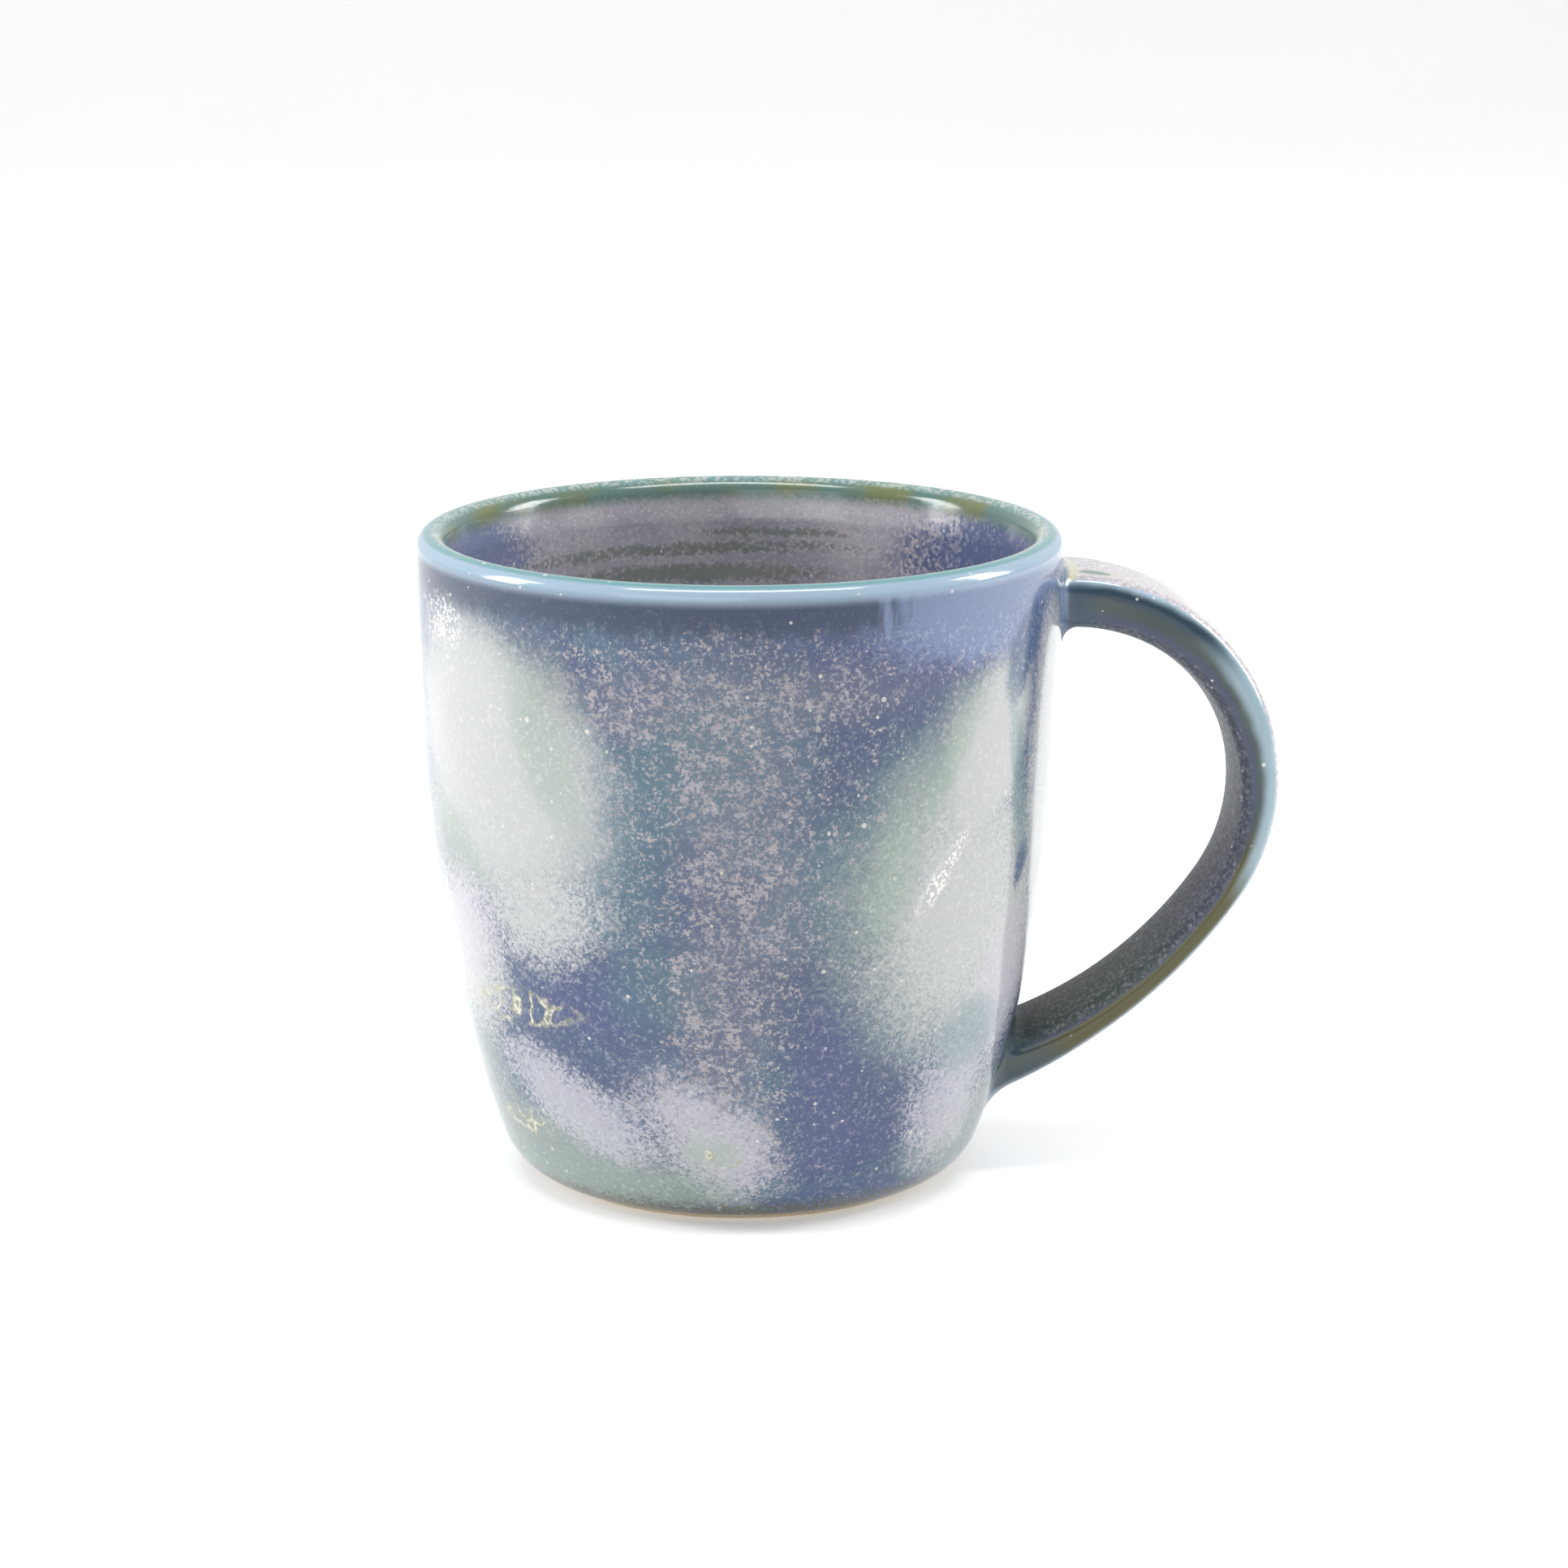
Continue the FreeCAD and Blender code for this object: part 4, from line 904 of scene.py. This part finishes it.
def with_roots(glaze, colour, outer, wobble):
    """Pooled colour where the strap meets the cup, with one run of darker glaze on top."""
    from_axis = glaze.vector("LENGTH", glaze.join(glaze.across, glaze.sideways))
    cup_gap = glaze.less(from_axis, RIM_RADIUS)
    at_top = glaze.fade(glaze.up, 74.0, 76.0)
    pool = glaze.times(glaze.fade(cup_gap, 6.0, 2.0), glaze.times(at_top, 0.75))
    colour = glaze.mix(glaze.times(pool, glaze.fade(outer, -0.3, -1.6)), colour, "#2C4156")
    on_top = glaze.times(glaze.fade(outer, -0.9, -0.3), at_top)
    run_across = glaze.maths("DIVIDE", glaze.less(glaze.across, 49.2), 2.6)
    run_beside = glaze.maths("DIVIDE", glaze.maths("ADD", glaze.sideways, 4.6), 1.5)
    run = glaze.vector("LENGTH", glaze.join(run_across, run_beside, glaze.times(wobble, 0.3)))
    colour = glaze.mix(glaze.times(glaze.fade(run, 1.35, 1.1), on_top), colour, "#AFAC93")
    colour = glaze.mix(glaze.times(glaze.fade(run, 1.0, 0.7), on_top), colour, "#456670")
    colour = glaze.tint(colour, glaze.times(glaze.span(cup_gap, 0.6, 1.6, 0.7), on_top), 0.75, "#B3B08C")
    colour = glaze.mix(glaze.times(glaze.fade(cup_gap, 1.2, 0.2), at_top), colour, "#5E6E88")
    lower_root = glaze.fade(glaze.scaled(glaze.across, 0.9, glaze.up), 62.0, 54.0)
    return glaze.tint(colour, lower_root, 0.6, "#2F434C")


def handle_material():
    """Striped sides, a dark rough inner face and a pale outer one."""
    glaze = Glaze("handle_reactive_glaze")
    grain = glaze.noise(0.6, 2.0, 0.7)
    wobble = glaze.scaled(glaze.noise(6.0, 2.0), 2.4, -1.2)
    outer = strap_depth(glaze, OUTER_BOW, OUTER_SWEEP, OUTER_JOIN)       # 0 on the outer face, less inside
    inner = strap_depth(glaze, INNER_BOW, INNER_SWEEP, INNER_JOIN)       # 0 on the inner face, more inside
    through = glaze.maths("DIVIDE", inner, glaze.less(inner, outer))
    colour = handle_side(glaze, glaze.scaled(wobble, 0.08, through))
    spread = glaze.scaled(grain, 2.0, -1.0)
    inner_face = glaze.fade(glaze.scaled(spread, 0.3, inner), 1.9, 0.7)
    colour = glaze.mix(inner_face, colour, handle_underside(glaze, grain))
    outer_face = glaze.fade(glaze.scaled(wobble, 0.15, outer), -1.1, -0.3)
    colour = glaze.mix(outer_face, colour, handle_top(glaze, grain, wobble))
    colour = with_roots(glaze, colour, outer, wobble)
    flecks = glaze.maths("MAXIMUM", glaze.dots(2.0, 0.34, 0.10, 4), glaze.dots(1.2, 0.24, 0.12, 6))
    colour = glaze.tint(colour, flecks, 0.7, "#D5D0CC")
    roughness = glaze.scaled(inner_face, 0.42, 0.13)
    return glaze.finish(colour, roughness, glaze.noise(5.0, 1.0), 0.2, 0.0004)


def base_material():
    glaze = Glaze("base_reactive_glaze")
    drift = glaze.fade(glaze.noise(8.0, 4.0, 0.6), 0.35, 0.65)
    colour = glaze.mix(drift, "#4B6190", "#7E9BA0")
    elsewhere = glaze.vector("ADD", glaze.place, (9.0, 4.0, 2.0))
    clouds = glaze.fade(glaze.noise(5.0, 3.0, 0.6, place=elsewhere), 0.5, 0.64)
    colour = glaze.tint(colour, clouds, 0.75, "#C3C3C8")
    grain = glaze.noise(0.6, 2.0, 0.7)
    colour = glaze.tint(colour, glaze.fade(grain, 0.52, 0.64), 0.6, "#B7AEB9")
    rim = glaze.fade(glaze.vector("LENGTH", glaze.join(glaze.across, glaze.sideways)), 18.8, 20.2)
    colour = glaze.tint(colour, rim, 0.6, "#7A8668")
    return glaze.finish(colour, 0.16, glaze.noise(4.0, 2.0), 0.25, 0.0003)


def clay_material():
    """Bare stoneware: cream-buff, sandy, with darker grog."""
    glaze = Glaze("bare_stoneware")
    colour = glaze.mix(glaze.noise(6.0, 4.0, 0.6), "#BBA98B", "#D9C9AC")
    sand = glaze.noise(0.35, 3.0, 0.7)
    colour = glaze.tint(colour, glaze.fade(sand, 0.55, 0.68), 0.45, "#8D7A5E")
    grog = glaze.dots(1.1, 0.2, 0.14, 8)
    colour = glaze.tint(colour, grog, 0.8, "#5E5040")
    roughness = glaze.scaled(sand, 0.2, 0.72)
    return glaze.finish(colour, roughness, sand, 0.5, 0.0002)


# ---------------------------------------------------------------- the pieces

def make_pieces():
    """The four coats of glaze, each riding the mug in place of its CAD node, and the bare clay."""
    outside = lathe("outside_glaze_coat", outside_outline(), outside_material(), OUTSIDE_SEGMENTS,
                    throwing_marks)
    inside = lathe("inside_glaze_coat", inside_outline(), inside_material(), INSIDE_SEGMENTS)
    base = lathe("base_glaze_pool", base_outline(), base_material(), BASE_SEGMENTS)
    handle = handle_coat("handle_glaze_coat", handle_material())
    for piece, node in ((outside, "outside_glaze"), (inside, "inside_glaze"), (base, "base_glaze"),
                        (handle, "handle_glaze")):
        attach(piece, "root")
        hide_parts(node)
    clay = clay_material()
    for name in ("cup_body", "handle", "upper_handle_slip", "lower_handle_slip"):
        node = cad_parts[name]
        node.data.materials.clear()
        node.data.materials.append(clay)


# ---------------------------------------------------------------- floor, light and camera

STAGE_GLOW = 0.24                    # hides nearly all of the shadow, as in the photo
ROOM_LIGHT = 0.45
MUG_MIDDLE = (0.0, 0.0, 0.05)        # what the lamps face, in metres
CAMERA_PLACE = (-0.0488, -0.6983, 0.2180)
CAMERA_HEADING, CAMERA_TILT = 85.5, 13.08     # degrees round from +X, and down from level
CAMERA_LENS = 117.3                  # millimetres, on a 36 mm sensor


def stage_material():
    """Matt white paper with the faintest mottle, which glows a little to lose the mug's shadow."""
    glaze = Glaze("studio_paper")
    glaze.shader.inputs["Emission Color"].default_value = (1.0, 1.0, 1.0, 1.0)
    glaze.shader.inputs["Emission Strength"].default_value = STAGE_GLOW
    return glaze.finish(glaze.mix(glaze.noise(120.0, 2.0), "#F4F4F4", "#F8F8F8"), 0.9)


def make_stage():
    """A floor that curves up into a back wall, far behind the mug. Sizes in metres."""
    front, back, bend, top, half_width, steps = -3.0, 2.5, 1.2, 4.0, 4.0, 24
    outline = [(front, 0.0), (back - bend, 0.0)]
    for step in range(1, steps + 1):
        turn = math.radians(90 * step / steps)
        outline.append((back - bend + bend * math.sin(turn), bend - bend * math.cos(turn)))
    outline.append((back, top))
    vertices = [(x / MM, y / MM, z / MM) for y, z in outline for x in (-half_width, half_width)]
    faces = [(2 * i, 2 * i + 1, 2 * i + 3, 2 * i + 2) for i in range(len(outline) - 1)]
    make_object("studio_sweep", vertices, faces, stage_material())


def area_lamp(name, place, width, height, power):
    """A rectangular lamp, in metres and watts, that faces the mug."""
    data = bpy.data.lights.new(name, "AREA")
    data.shape = "RECTANGLE"
    data.size = width
    data.size_y = height
    data.energy = power
    lamp = bpy.data.objects.new(name, data)
    lamp.location = place
    lamp.rotation_euler = (Vector(MUG_MIDDLE) - Vector(place)).to_track_quat("-Z", "Y").to_euler()
    bpy.context.scene.collection.objects.link(lamp)


def make_lights():
    world = bpy.data.worlds.new("studio_room")
    world.use_nodes = True
    background = world.node_tree.nodes["Background"]
    background.inputs["Color"].default_value = (1.0, 1.0, 1.0, 1.0)
    background.inputs["Strength"].default_value = ROOM_LIGHT
    bpy.context.scene.world = world
    area_lamp("overhead_softbox", (0.0, -0.15, 1.1), width=1.0, height=0.2, power=9.0)
    area_lamp("left_softbox", (-1.0, 0.1, 0.5), width=0.3, height=0.6, power=8.0)
    area_lamp("right_softbox", (1.0, 0.1, 0.5), width=0.3, height=0.6, power=8.0)
    area_lamp("front_fill", (-0.6, -1.3, 0.5), width=1.2, height=0.8, power=5.0)


def make_camera():
    """The photo's camera, as fitted to the mug's outline."""
    data = bpy.data.cameras.new("photo_camera")
    data.sensor_width = 36.0
    data.lens = CAMERA_LENS
    data.clip_start = 0.01
    data.clip_end = 20.0
    camera = bpy.data.objects.new("photo_camera", data)
    camera.location = CAMERA_PLACE
    heading, tilt = math.radians(CAMERA_HEADING), math.radians(CAMERA_TILT)
    direction = (math.cos(heading) * math.cos(tilt), math.sin(heading) * math.cos(tilt), -math.sin(tilt))
    camera.rotation_euler = Vector(direction).to_track_quat("-Z", "Y").to_euler()
    bpy.context.scene.collection.objects.link(camera)
    bpy.context.scene.camera = camera


make_pieces()
make_stage()
make_lights()
make_camera()
bpy.context.scene.view_settings.view_transform = "Standard"
